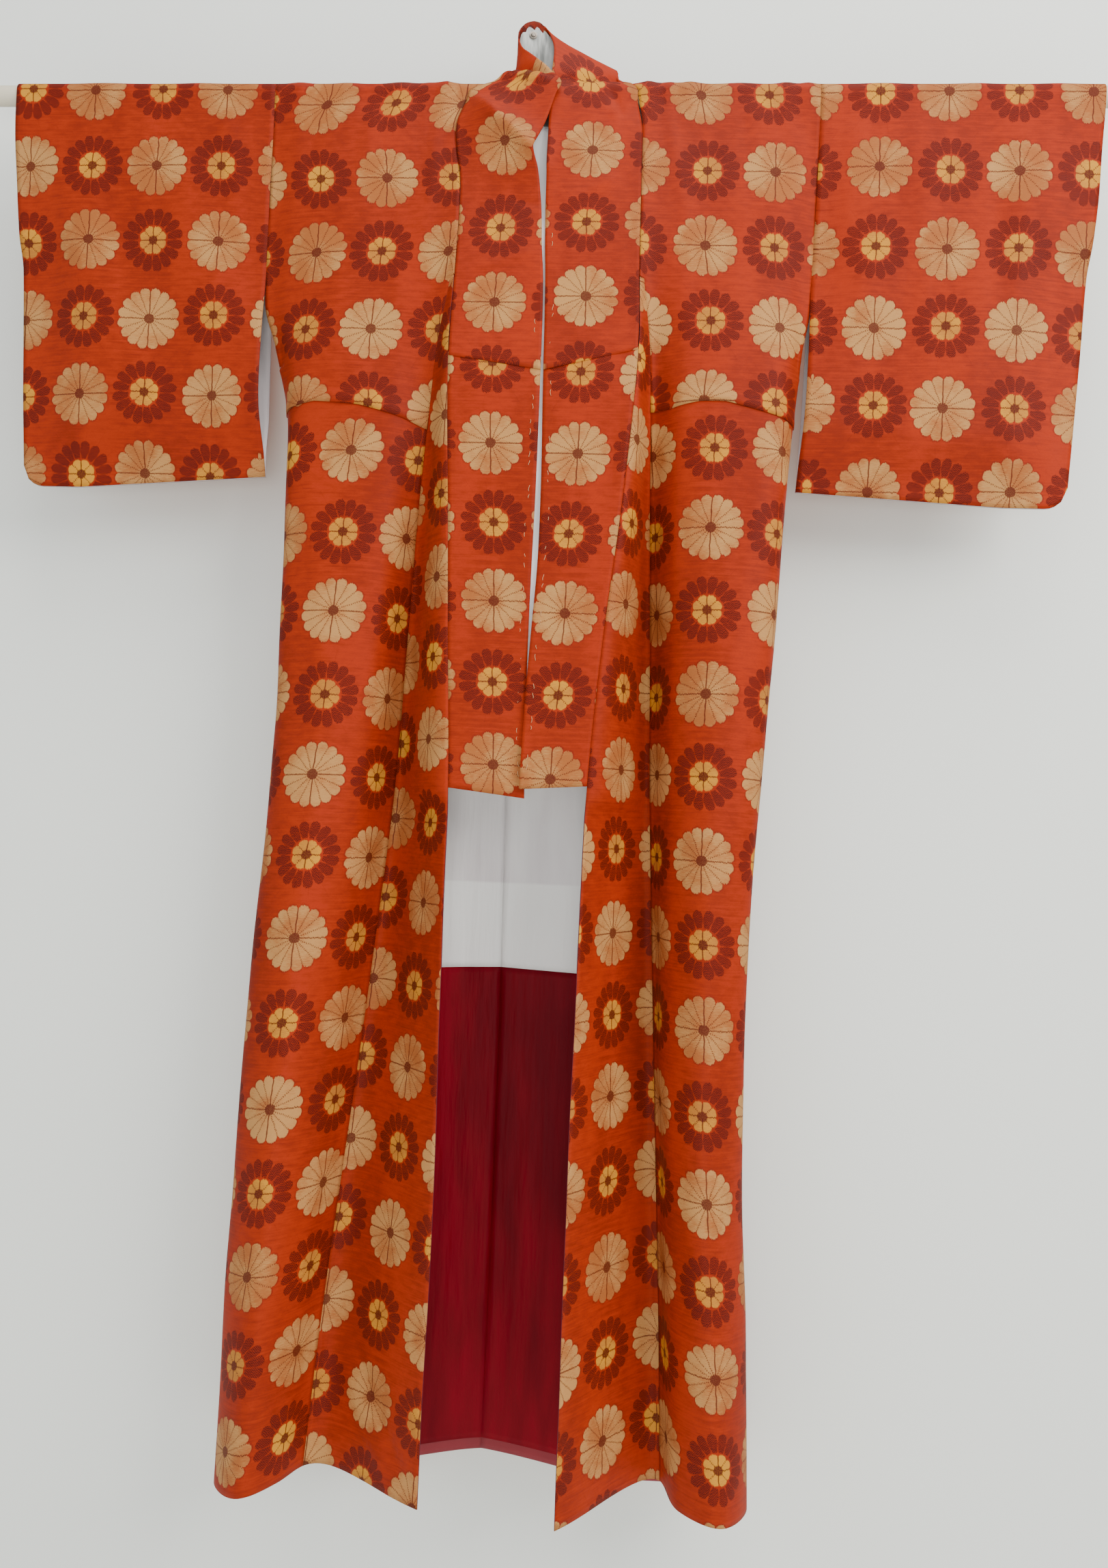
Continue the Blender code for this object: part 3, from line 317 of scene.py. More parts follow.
# Where the lattice lies on each piece. Columns: a row's drop, whether the round there is dark, what the
# tuck takes up, and (drop, distance from the piece's first edge) places of one column.
LATTICE = {
    "sleeve_left": (0.0010, True, 0.0, ((0.0, 0.140), (0.48, 0.140))),
    "sleeve_right": (0.0020, False, 0.0, ((0.0, 0.149), (0.48, 0.150))),
    "front_left": (0.0195, True, 0.037, (
        (0.0, 0.085), (0.20, 0.090), (0.39, 0.111), (0.54, 0.152),
        (0.72, 0.203), (0.86, 0.236), (1.08, 0.247), (1.62, 0.283),
    )),
    "front_right": (0.0080, False, 0.0385, (
        (0.0, 0.075), (0.20, 0.076), (0.37, 0.105), (0.53, 0.150),
        (0.72, 0.195), (0.90, 0.222), (1.10, 0.237), (1.62, 0.265),
    )),
    "overlap_left": (0.9680, False, 0.0, (
        (0.24, -0.01), (0.84, 0.036), (1.07, 0.052), (1.35, 0.072), (1.62, 0.086),
    )),
    "overlap_right": (0.6180, False, 0.0, ((0.24, -0.01), (0.61, 0.028), (0.90, 0.066), (1.62, 0.074))),
}
# Columns: a row's drop, distance between rows, and (drop, distance from the sewn edge) places of the column
COLLAR_LATTICE = {
    "left": (0.0710, 0.0919, ((0.0, 0.052), (0.84, 0.050))),
    "right": (0.0780, 0.0928, ((0.0, 0.057), (0.36, 0.063), (0.55, 0.053), (0.64, 0.044), (0.84, 0.041))),
}
# The over-collar's rounds in front. Columns: drop, which round, its distance from the sewn edge.
OVER_COLLAR_ROUNDS = {
    "left": (
        (-0.0063, -1.0, 0.0600), (0.0758, 0.0, 0.0617), (0.1784, 1.0, 0.0485), (0.2711, 2.0, 0.0495),
        (0.3450, 2.8, 0.0500),
    ),
    "right": (
        (-0.0100, -1.0, 0.0570), (0.0810, 0.0, 0.0580), (0.1690, 1.0, 0.0630), (0.2640, 2.0, 0.0620),
        (0.3450, 2.877, 0.0630),
    ),
}
# What the hidden valley behind the left flap's ridge takes up of the pattern, in rounds
VALLEY_TAKES = 1.2

# The photograph's camera: place, turns in degrees, and focal length as a share of the picture's height
CAMERA_PLACE = (0.1272, -1.3609, -0.8685)
CAMERA_YAW, CAMERA_PITCH, CAMERA_ROLL = 3.518, 1.851, -2.242
CAMERA_FOCAL_SHARE = 1700 / 2296
SENSOR_HEIGHT = 36.0

# Columns: name, place, target, size, power, colour
LIGHTS = (
    ("key", (1.9, -1.7, 0.5), (0.0, 0.0, -0.75), 1.5, 60, (1.0, 0.98, 0.95)),
    ("fill", (-2.2, -1.9, -0.3), (0.0, 0.0, -0.8), 2.0, 13, (0.95, 0.97, 1.0)),
    ("front", (0.2, -2.8, -1.3), (0.0, 0.0, -1.0), 0.8, 19, (1.0, 0.99, 0.97)),
    ("above", (0.4, -1.1, 2.1), (0.0, 0.0, -0.6), 1.8, 56, (1.0, 0.99, 0.97)),
)
WORLD_COLOUR = (0.92, 0.95, 1.0, 1.0)
WORLD_STRENGTH = 0.64
FLOOR_Z = -1.95
FLOOR_REACH = 6
WALL_Y = 0.10
WALL_TOP = 2.0
WALL_REACH = 4


def smooth_step(value, low=0.0, high=1.0):
    share = np.clip((value - low) / (high - low), 0.0, 1.0)
    return share * share * (3 - 2 * share)


def hermite(knots, points, slopes, at):
    """Points at the given parameters of a smooth curve through the points."""
    at = np.atleast_1d(at)
    i = np.clip(np.searchsorted(knots, at) - 1, 0, len(knots) - 2)
    span = (knots[i + 1] - knots[i])[:, None]
    k = (at - knots[i])[:, None] / span
    return (
        (2 * k**3 - 3 * k**2 + 1) * points[i]
        + (k**3 - 2 * k**2 + k) * span * slopes[i]
        + (3 * k**2 - 2 * k**3) * points[i + 1]
        + (k**3 - k**2) * span * slopes[i + 1]
    )


def follow(rows, drops):
    """A table's values at the given drops, one line each, level at its first row."""
    knots = np.array([row[0] for row in rows], float)
    points = np.array([np.ravel(np.array(row[1:], float)) for row in rows])
    slopes = np.gradient(points, knots, axis=0)
    slopes[0] = 0.0
    return hermite(knots, points, slopes, np.clip(drops, knots[0], knots[-1]))


def sign_of(side):
    return -1.0 if side == "left" else 1.0


def seam_x(side, drop):
    line = follow(SLEEVES[side], min(drop, SLEEVE_JOIN))[0, 1]
    if drop <= SLEEVE_JOIN:
        return line
    inward = smooth_step(drop, SLEEVE_JOIN, 0.31)
    return line + (follow(TABLES[side][1], drop)[0, 4] - line) * inward


def front_controls(side, drop):
    controls = np.concatenate([follow(table, drop)[0] for table in TABLES[side]]).reshape(-1, 2)
    controls[5, 0] = seam_x(side, drop)
    return controls


def back_controls(side, drop):
    panel_y, centre_x, centre_y = follow(BACK, drop)[0]
    sewn = smooth_step(drop, 0.33, SIDE_SLIT_END)
    front_y = front_controls(side, drop)[5, 1]
    seam_y = follow(BACK_SEAM, drop)[0, 0] * (1 - sewn) + front_y * sewn
    seam = (seam_x(side, drop), seam_y)
    near = (seam[0] - sign_of(side) * 0.050, seam_y + 0.8 * (panel_y - seam_y))
    middle = ((seam[0] + centre_x) / 2, panel_y)
    return np.array([seam, near, middle, (centre_x, centre_y)])


def free_edge(side, drop):
    left_x, right_x, left_back, right_back = follow(FREE_EDGES, drop)[0]
    edge_y = front_controls(side, drop)[0, 1]
    if side == "left":
        return np.array([left_x, edge_y + left_back])
    return np.array([right_x, edge_y + right_back])


def steered_front(side, drop):
    """The front's controls with a steering point at each end."""
    controls = front_controls(side, drop)
    collared = 1 - smooth_step(drop, COLLAR_END + 0.004, COLLAR_END + 0.03)
    near_collar = controls[0] - np.array([sign_of(side) * 0.015, 0.0])
    before = near_collar * collared + (2 * controls[0] - controls[1]) * (1 - collared)
    sewn = smooth_step(drop, 0.31, SIDE_SLIT_END)
    mirrored = np.array([2 * controls[5, 0] - controls[4, 0], controls[4, 1]])
    after = mirrored * (1 - sewn) + back_controls(side, drop)[1] * sewn
    return np.array([before, *controls, after])


def steered_back(side, drop):
    controls = back_controls(side, drop)
    sewn = smooth_step(drop, 0.31, SIDE_SLIT_END)
    mirrored = np.array([2 * controls[0, 0] - controls[1, 0], controls[1, 1]])
    before = mirrored * (1 - sewn) + front_controls(side, drop)[4] * sewn
    after = np.array([2 * controls[3, 0] - controls[2, 0], controls[2, 1]])
    return np.array([before, *controls, after])


def steered_collar(side, drop):
    edge, valley = front_controls(side, drop)[:2]
    inner = free_edge(side, drop)
    near = edge - np.array([sign_of(side) * 0.015, 0.0])
    middle = (near + inner) / 2
    return np.array([valley, edge, near, middle, inner, 2 * inner - middle])


def section_line(steered, first, last, count):
    """Evenly spaced points of a section between two control places, and their distances from control 0."""
    chord = np.concatenate([[0.0], np.cumsum(np.linalg.norm(np.diff(steered, axis=0), axis=1))])
    slopes = np.gradient(steered, chord, axis=0)
    knots = chord[1:-1]
    dense = np.linspace(knots[0], knots[-1], 400)
    line = hermite(knots, steered[1:-1], slopes[1:-1], dense)
    length = np.concatenate([[0.0], np.cumsum(np.linalg.norm(np.diff(line, axis=0), axis=1))])
    ends = np.interp(np.interp((first, last), np.arange(len(knots)), knots), dense, length)
    reach = np.linspace(ends[0], ends[1], count)
    points = np.stack([np.interp(reach, length, line[:, axis]) for axis in (0, 1)], axis=1)
    places = np.interp(np.interp(reach, length, dense), knots, np.arange(len(knots)))
    return points, reach, places


def neck_edge_x(side, drop, behind=False):
    corners = NECK_CORNERS[side]
    share = np.clip(-drop / QUARTER, 0.0, 1.0)
    if behind:
        centre, low = BACK[0][2], corners[3] - NECKLINE_EASE * sign_of(side)
        knots = (0.0, NECKLINE_SHARE, NECKLINE_SHARE + NECKLINE_SLOPE, 0.5, 1.0)
        return float(np.interp(share, knots, (centre, centre, low, corners[3], corners[2])))
    return float(np.interp(share, (0.0, 0.5, 1.0), corners[:3]))


def on_rod(x, drop, behind=False):
    """Points of the cloth on the rod, for one drop above its side."""
    angle = -drop / WRAP_RADIUS
    y = WRAP_RADIUS * math.cos(angle) * (1 if behind else -1)
    x = np.atleast_1d(x)
    return np.stack([x, np.full_like(x, y), np.full_like(x, WRAP_RADIUS * math.sin(angle))], axis=1)


def panel_grid(side, behind, drops, columns, ends_at):
    """Middle points of a panel and, for each, its distance across from the first control and its drop."""
    extras = np.array(HEM_EXTRA[side][5:] if behind else HEM_EXTRA[side][:6])
    steer = steered_back if behind else steered_front
    seam = seam_x(side, 0.0)
    points, across = [], []
    for drop in drops:
        if drop >= 0:
            line, reach, places = section_line(steer(side, drop), *ends_at(drop), columns)
            extra = np.interp(places, np.arange(len(extras)), extras)
            row = np.column_stack([line, -drop - extra * (drop / HEM) ** 2])
        else:
            inner = neck_edge_x(side, drop, behind)
            row = on_rod(np.linspace(*((seam, inner) if behind else (inner, seam)), columns), drop, behind)
            first_edge = seam if behind else front_controls(side, 0.0)[0, 0]
            reach = (row[:, 0] - first_edge) * sign_of(side) * (-1 if behind else 1)
        points.append(row)
        across.append(reach)
    return np.array(points), np.array(across), np.repeat(np.array(drops)[:, None], columns, axis=1)


def grid_normals(points, turn):
    """Unit normals of a grid of points; turn is 1 or -1 and picks the side."""
    normals = np.cross(np.gradient(points, axis=1), np.gradient(points, axis=0)) * turn
    return normals / np.maximum(np.linalg.norm(normals, axis=2, keepdims=True), 1e-12)


def raised(points, turn, height):
    """A grid moved along its normals, and the normals that it then has."""
    points = points + grid_normals(points, turn) * height[..., None]
    return points, grid_normals(points, turn)


# Creases drawn on each piece. Columns: across and drop where one starts, across and drop where
# it ends, width, height
CREASES = {
    "front_left": (
        (0.02, 0.03, 0.05, 0.22, 0.010, 0.0014),
        (0.10, 0.02, 0.11, 0.12, 0.012, 0.0012),
        (0.17, 0.03, 0.19, 0.17, 0.014, -0.0014),
        (0.19, 0.42, 0.22, 0.80, 0.016, 0.0016),
        (0.28, 0.50, 0.30, 0.95, 0.018, -0.0018),
        (0.30, 1.02, 0.33, 1.50, 0.020, 0.0018),
    ),
    "front_right": (
        (0.03, 0.03, 0.06, 0.20, 0.010, 0.0014),
        (0.12, 0.02, 0.12, 0.14, 0.012, -0.0012),
        (0.17, 0.03, 0.20, 0.22, 0.014, 0.0014),
        (0.20, 0.42, 0.23, 0.75, 0.016, 0.0016),
        (0.27, 0.60, 0.29, 1.05, 0.018, -0.0016),
        (0.30, 1.05, 0.33, 1.52, 0.020, 0.0018),
    ),
    "sleeve_left": (
        (0.06, 0.02, 0.03, 0.22, 0.014, 0.0018),
        (0.14, 0.03, 0.12, 0.30, 0.018, -0.0016),
        (0.22, 0.06, 0.20, 0.36, 0.020, 0.0018),
        (0.27, 0.10, 0.26, 0.30, 0.014, -0.0014),
    ),
    "sleeve_right": (
        (0.05, 0.02, 0.03, 0.20, 0.014, 0.0018),
        (0.12, 0.04, 0.13, 0.34, 0.018, 0.0016),
        (0.20, 0.06, 0.22, 0.36, 0.020, -0.0018),
        (0.28, 0.08, 0.27, 0.32, 0.014, 0.0014),
    ),
    "back_left": (
        (0.08, 0.10, 0.10, 0.55, 0.018, 0.0018),
        (0.18, 0.20, 0.16, 0.90, 0.020, -0.0018),
        (0.24, 0.90, 0.22, 1.50, 0.022, 0.0020),
    ),
    "back_right": (
        (0.07, 0.12, 0.09, 0.60, 0.018, -0.0018),
        (0.17, 0.30, 0.19, 1.00, 0.020, 0.0018),
        (0.12, 1.00, 0.10, 1.52, 0.022, 0.0020),
    ),
    "overlap_left": (
        (0.06, 0.95, 0.09, 1.45, 0.014, 0.0012),
        (0.118, 1.473, 0.011, 1.612, 0.006, -0.0032),
        (0.130, 1.505, 0.040, 1.616, 0.009, 0.0022),
    ),
    "overlap_right": ((0.05, 0.90, 0.07, 1.40, 0.014, -0.0012),),
}


def crease_heights(name, across, drop):
    """Soft troughs and ridges, with a faint undulation that differs from piece to piece."""
    height = np.zeros_like(across)
    for a0, d0, a1, d1, width, depth in CREASES.get(name, ()):
        way = np.array([a1 - a0, d1 - d0])
        length = np.linalg.norm(way)
        along = ((across - a0) * way[0] + (drop - d0) * way[1]) / length**2
        off = ((across - a0) * way[1] - (drop - d0) * way[0]) / length
        fade = smooth_step(along, -0.15, 0.25) * (1 - smooth_step(along, 0.7, 1.15))
        spread = width * (0.7 + 0.6 * np.clip(along, 0, 1))
        height += depth * fade * np.exp(-np.abs(off / spread) ** 1.6)
    phase = sum(ord(letter) for letter in name) % 17
    height += 0.0006 * np.sin(across * 41 + drop * 9 + phase) * np.sin(drop * 23 - across * 12 + 2 * phase)
    height += 0.0005 * np.sin(across * 17 + 3 * np.sin(drop * 5 + phase)) * np.sin(drop * 7 + phase)
    return height


def border_fade(columns, width, reach=0.014, first=True, last=True):
    """0 at a grid's sewn side borders and 1 away from them."""
    places = np.linspace(0, 1, columns) * width
    fade = np.ones(columns)
    if first:
        fade = fade * smooth_step(places, 0.0, reach)
    if last:
        fade = fade * smooth_step(width - places, 0.0, reach)
    return fade[None, :]


# Gathers of cloth on the rod. Columns: x, width, height.
GATHERS = (
    (-0.118, 0.009, 0.0028), (-0.137, 0.010, 0.0012), (-0.172, 0.016, 0.0016), (-0.238, 0.014, 0.0010),
    (-0.296, 0.012, 0.0014), (0.124, 0.010, 0.0030), (0.149, 0.008, 0.0018), (0.173, 0.012, 0.0024),
    (0.232, 0.018, 0.0010), (0.286, 0.010, 0.0016), (0.311, 0.008, 0.0014), (-0.420, 0.022, 0.0007),
    (-0.540, 0.026, 0.0008), (0.398, 0.024, 0.0009), (0.505, 0.020, 0.0008), (0.600, 0.022, 0.0006),
)


def gather_heights(points, drop, behind=False):
    """How far the gathers lift the cloth off the rod; they run out below it."""
    height = np.zeros_like(drop)
    for x, width, lift in GATHERS:
        height += lift * np.exp(-(((points[..., 0] - x) / width) ** 2))
    return height * (1 - smooth_step(drop, 0.004, 0.035 if behind else 0.055))


def regrid(points, across, drops, wanted):
    """A grid moved along its columns so that its rows lie at the wanted drops."""
    moved = np.empty((*wanted.shape, 3))
    reach = np.empty(wanted.shape)
    for c in range(wanted.shape[1]):
        for axis in range(3):
            moved[:, c, axis] = np.interp(wanted[:, c], drops, points[:, c, axis])
        reach[:, c] = np.interp(wanted[:, c], drops, across[:, c])
    return moved, reach


def make_object(name, mesh, materials):
    """An object in the scene, made of a mesh that is used up."""
    data = bpy.data.meshes.new(name)
    mesh.to_mesh(data)
    mesh.free()
    for material in materials:
        data.materials.append(material)
    obj = bpy.data.objects.new(name, data)
    bpy.context.scene.collection.objects.link(obj)
    return obj


class Shell:
    """A cloth piece gathered from grids: two faces a little apart, joined round their borders."""

    def __init__(self, name, cloth):
        self.name = name
        self.out, self.inside, self.columns = CLOTHS[cloth]
        self.mesh = bmesh.new()
        self.uv = self.mesh.loops.layers.uv.new("Cells")

    def add(self, points, normals, cells, edge=OUTER):
        rows, columns = points.shape[:2]
        faces = []
        outer, inner = (
            [[self.mesh.verts.new(p) for p in row] for row in points + normals * offset]
            for offset in (self.out, -self.inside)
        )

        def face(corners, places, slot):
            made = self.mesh.faces.new(corners)
            made.material_index = slot
            made.smooth = True
            for loop, (r, c) in zip(made.loops, places):
                loop[self.uv].uv = cells[r, c]
            faces.append(made)

        for r in range(rows - 1):
            for c in range(columns - 1):
                places = ((r, c), (r, c + 1), (r + 1, c + 1), (r + 1, c))
                face([outer[i][j] for i, j in places], places, OUTER)
                face([inner[i][j] for i, j in places[::-1]], places[::-1], INNER)
        border = [(0, c) for c in range(columns)]
        border += [(r, columns - 1) for r in range(1, rows)]
        border += [(rows - 1, c) for c in range(columns - 2, -1, -1)]
        border += [(r, 0) for r in range(rows - 2, 0, -1)]
        for (r0, c0), (r1, c1) in zip(border, border[1:] + border[:1]):
            corners = [outer[r0][c0], inner[r0][c0], inner[r1][c1], outer[r1][c1]]
            face(corners, [(r0, c0), (r0, c0), (r1, c1), (r1, c1)], edge)
        bmesh.ops.recalc_face_normals(self.mesh, faces=faces)

    def finish(self, materials):
        obj = make_object(self.name, self.mesh, materials)
        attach(obj, "root")
        return obj


def value_at(pairs, at):
    """Values between a table's (place, value) pairs."""
    knots = np.array(pairs)
    return np.interp(at, knots[:, 0], knots[:, 1])


def lattice_cells(name, across, drop, behind=False, tucked=False):
    """Lattice coordinates, whose whole numbers lie between the rounds."""
    row, dark, tuck, places = LATTICE[name]
    if behind:
        drop = -drop - 2 * QUARTER
    elif tucked:
        drop = drop + tuck
    u = (across - value_at(places, drop)) / COLUMN_PITCH + (1 if dark else 0)
    return np.stack([u, (drop - row) / ROW_PITCH], axis=-1) + 0.5


def spaced(first, last, spacing=SPACING):
    return np.linspace(first, last, max(2, int(round((last - first) / spacing)) + 1))


def body_heights(name, points, across, drops, behind=False):
    """Creases and gathers of a half's front or back."""
    height = crease_heights(name, across, drops) * smooth_step(drops, 0.0, 0.05)
    return height * border_fade(points.shape[1], PANEL_WIDTH) + gather_heights(points, drops, behind)


def make_body(side, materials):
    """The front and back of one half, cut in one length over the shoulder, with a tuck across the front."""
    shell = Shell(f"body_{side}", "body")
    turn = -sign_of(side)
    name = f"front_{side}"
    above = np.concatenate([
        np.linspace(-QUARTER, 0.0, ARC_ROWS)[:-1],
        spaced(0.0, OVERLAP_TOP - 0.004),
        OVERLAP_TOP - np.array(FRONT_STEP_ROWS),
        spaced(OVERLAP_TOP + 0.004, TUCK_DROP),
    ])
    below = spaced(TUCK_DROP - TUCK_LAP, HEM)
    every = np.concatenate([above, below[below > TUCK_DROP + 0.001]])
    points, across, _ = panel_grid(
        side, False, every, shell.columns, lambda drop: (0, 5) if drop < OVERLAP_TOP - FRONT_STEP else (1, 5)
    )
    shift = value_at(TUCKS[side], points[len(above) - 1, :, 0]) - TUCK_DROP
    for rows, tucked in ((above, False), (below, True)):
        near = smooth_step(rows, TUCK_DROP - TUCK_REACH, TUCK_DROP)
        near = near * (1 - smooth_step(rows, TUCK_DROP, TUCK_DROP + TUCK_REACH))
        drops = rows[:, None] + shift[None, :] * near[:, None]
        grid, reach = regrid(points, across, every, drops)
        height = body_heights(name, grid, reach, drops)
        if not tucked:
            height += TUCK_STEP * smooth_step(rows, TUCK_DROP - 0.020, TUCK_DROP - 0.002)[:, None]
        cells = lattice_cells(name, reach, drops, tucked=tucked)
        shell.add(*raised(grid, turn, height), cells, ROLLED if tucked else OUTER)
    drops = np.concatenate([-QUARTER * np.array(BACK_ARC_SHARES), spaced(0.0, HEM)])
    points, across, drops = panel_grid(side, True, drops, shell.columns, lambda drop: (0, 3))
    height = body_heights(f"back_{side}", points, across, drops, behind=True)
    front_across = abs(seam_x(side, 0.0) - front_controls(side, 0.0)[0, 0]) - across
    shell.add(*raised(points, turn, height), lattice_cells(name, front_across, drops, behind=True), ROLLED)
    obj = shell.finish(materials)
    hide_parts(f"front_{side}", f"back_{side}")


def make_overlap(side, materials):
    name = f"overlap_{side}"
    shell = Shell(f"overlap_{side}_cloth", "overlap")
    drops = spaced(OVERLAP_TOP - OVERLAP_START, HEM)
    points, across, drops = panel_grid(side, False, drops, shell.columns, lambda drop: (0, 1))
    height = crease_heights(name, across, drops) * border_fade(shell.columns, OVERLAP_WIDTH, first=False)
    height *= smooth_step(drops, COLLAR_END, COLLAR_END + 0.03)
    shell.add(*raised(points, -sign_of(side), height), lattice_cells(name, across, drops), ROLLED)
    obj = shell.finish(materials)
    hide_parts(name)


def sleeve_bottom(side, places, width):
    inner, outer = SLEEVE_BOTTOM[side]
    bottom = inner + (outer - inner) * np.minimum(1.0, places * 1.3)
    reach = np.minimum((1 - places) * width, SLEEVE_CORNER)
    return bottom - (SLEEVE_CORNER - np.sqrt(SLEEVE_CORNER**2 - (SLEEVE_CORNER - reach) ** 2))


def sleeve_gap(side, places, drops, bottom, width):
    """Half the distance between the sleeve's front and back."""
    inner_gap = follow(SLEEVES[side], drops.ravel())[:, 2].reshape(drops.shape)
    height, count, phase = SLEEVE_WAVES[side]
    wave = height * np.sin(2 * np.pi * (count * places + 1.3 * drops / bottom) + phase)
    gap = WRAP_RADIUS + (SLEEVE_FULLNESS + wave - WRAP_RADIUS) * smooth_step(drops, 0.0, SLEEVE_SWELLING)
    gap = inner_gap + (gap - inner_gap) * smooth_step(places * width, 0.0, INNER_REACH)
    cuff = WRAP_RADIUS + (CUFF_OPEN - WRAP_RADIUS) * smooth_step(drops, 0.0, CUFF_NARROWING)
    cuff = cuff + (SLEEVE_CLOSED - cuff) * smooth_step(drops, CUFF_END - CUFF_SHUTTING, CUFF_END)
    gap = cuff + (gap - cuff) * smooth_step((1 - places) * width, 0.0, CUFF_REACH)
    return SLEEVE_CLOSED + (gap - SLEEVE_CLOSED) * smooth_step(bottom - drops, 0.0, BOTTOM_SHUTTING)


def sleeve_grid(side, behind, places):
    """Middle points of a sleeve face, with distances across and drops."""
    top = follow(SLEEVES[side], 0.0)[0]
    width = abs(top[0] - top[1])
    arc = np.linspace(-QUARTER, 0.0, ARC_ROWS)[:-1]
    rows = [on_rod(top[1] + (top[0] - top[1]) * places, drop, behind) for drop in arc]
    bottom = sleeve_bottom(side, places, width)[None, :]
    drops = np.linspace(0, 1, SLEEVE_ROWS)[:, None] * bottom
    table = follow(SLEEVES[side], drops.ravel()).reshape(*drops.shape, 3)
    places = np.repeat(places[None, :], SLEEVE_ROWS, axis=0)
    gap = sleeve_gap(side, places, drops, bottom, width)
    x = table[..., 1] + (table[..., 0] - table[..., 1]) * places
    hung = np.stack([x, gap * (1.0 if behind else -1.0), -drops], axis=-1)
    points = np.concatenate([np.array(rows), hung])
    all_drops = np.concatenate([np.repeat(arc[:, None], x.shape[1], axis=1), drops])
    return points, np.abs(points[..., 0] - top[1]), all_drops


def make_sleeve(side, materials):
    """One length of cloth over the rod, closed along its bottom and below the hand's opening."""
    name = f"sleeve_{side}"
    shell = Shell(name, "sleeve")
    places = np.linspace(0, 1, shell.columns)
    for behind in (False, True):
        points, across, drops = sleeve_grid(side, behind, places)
        bottom = drops[-1][None, :]
        inset = smooth_step(drops, 0.0, 0.05) * smooth_step(bottom - drops, 0.0, 0.05)
        inset = inset * smooth_step(1 - places[None, :], 0.0, 0.08)
        height = crease_heights(name, across, drops + (0.03 if behind else 0.0)) * inset
        height += gather_heights(points, drops, behind)
        turn = sign_of(side) * (1 if behind else -1)
        shell.add(*raised(points, turn, height), lattice_cells(name, across, drops, behind), ROLLED)
    obj = shell.finish(materials)
    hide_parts(f"sleeve_{side}_front", f"sleeve_{side}_back")


def make_lower_collar(side, materials):
    """A collar below the over-collar, with its upper and lower ends cut aslant."""
    shell = Shell(f"collar_{side}_cloth", "collar")
    every = spaced(OVER_COLLAR_END - 0.03, COLLAR_END + 0.008, COLLAR_SPACING)
    points, across = [], []
    for drop in every:
        line, reach, _ = section_line(steered_collar(side, drop), 0, 3, shell.columns)
        points.append(np.column_stack([line, np.full(shell.columns, -drop)]))
        across.append(reach)
    rows = spaced(OVER_COLLAR_END, COLLAR_END, COLLAR_SPACING)[:, None]
    shares = np.linspace(0, 1, shell.columns)
    high = np.interp(shares, (0, 1), OVER_COLLAR_ENDS[side]) - OVER_COLLAR_END - COLLAR_LAP
    low = np.interp(shares, (0, 1), COLLAR_ENDS[side]) - COLLAR_END
    near_top = 1 - smooth_step(rows, OVER_COLLAR_END, OVER_COLLAR_END + COLLAR_SLANT)
    near_end = smooth_step(rows, COLLAR_END - COLLAR_SLANT, COLLAR_END)
    drops = rows + near_top * high + near_end * low
    points, across = regrid(np.array(points), np.array(across), every, drops)
    height = crease_heights(f"collar_{side}", across, drops)
    height = height * border_fade(shell.columns, COLLAR_WIDTH, 0.03, last=False)
    row, pitch, places = COLLAR_LATTICE[side]
    cells = np.stack([(across - value_at(places, drops)) / COLUMN_PITCH, (drops - row) / pitch], axis=-1)
    shell.add(*raised(points, sign_of(side), height), cells + 0.5)
    obj = shell.finish(materials)
    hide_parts(f"collar_{side}")


def neck_station(row):
    """Seam edge, free edge and corner of the over-collar at a station of the neck."""
    side, drop, x, free_x, free_y, free_z, corner = row
    clear = np.array([1.0, 1 + NECK_LIFT / WRAP_RADIUS, 1 + NECK_LIFT / WRAP_RADIUS])
    if side == "back":
        seam = on_rod(x, drop, True)[0] * clear
    elif drop <= 0:
        seam = on_rod(neck_edge_x(side, drop), drop)[0] * clear
    else:
        edge = front_controls(side, drop)[0]
        seam = np.array([edge[0], edge[1], -drop])
    return seam, np.array([free_x, free_y, free_z]), corner


def front_station(side, drop, free_drop):
    edge = front_controls(side, drop)[0]
    inner = free_edge(side, free_drop)
    return np.array([edge[0], edge[1], -drop]), np.array([inner[0], inner[1], -free_drop]), 0.0


def over_collar_stations():
    """All stations of the over-collar, from its left end round the neck to its right end."""
    stations = [front_station("left", *OVER_COLLAR_ENDS["left"])]
    stations += [front_station("left", drop, drop) for drop in OVER_COLLAR_DROPS[::-1]]
    stations += [neck_station(row) for row in NECK]
    stations += [front_station("right", drop, drop) for drop in OVER_COLLAR_DROPS]
    stations.append(front_station("right", *OVER_COLLAR_ENDS["right"]))
    return stations


# Folds of the over-collar in front of the rod: x and z where one starts, x and z where it ends, width on
# its upper side, width on its lower side, height
COLLAR_FOLDS = (
    (-0.0790, -0.0150, -0.0060, -0.0880, 0.016, 0.028, 0.0165),
    (0.0120, 0.0075, 0.0850, 0.0165, 0.012, 0.004, -0.0085),
    (0.0760, 0.0050, 0.0920, -0.0300, 0.006, 0.006, -0.0022),
    (0.1040, 0.0040, 0.0860, -0.0300, 0.007, 0.006, 0.0024),
    (-0.0300, -0.1450, 0.0080, -0.1520, 0.006, 0.004, -0.0014),
    (-0.0650, -0.2300, -0.0100, -0.2120, 0.012, 0.008, 0.0012),
    (0.0300, -0.1500, 0.0800, -0.1200, 0.016, 0.010, 0.0014),
)


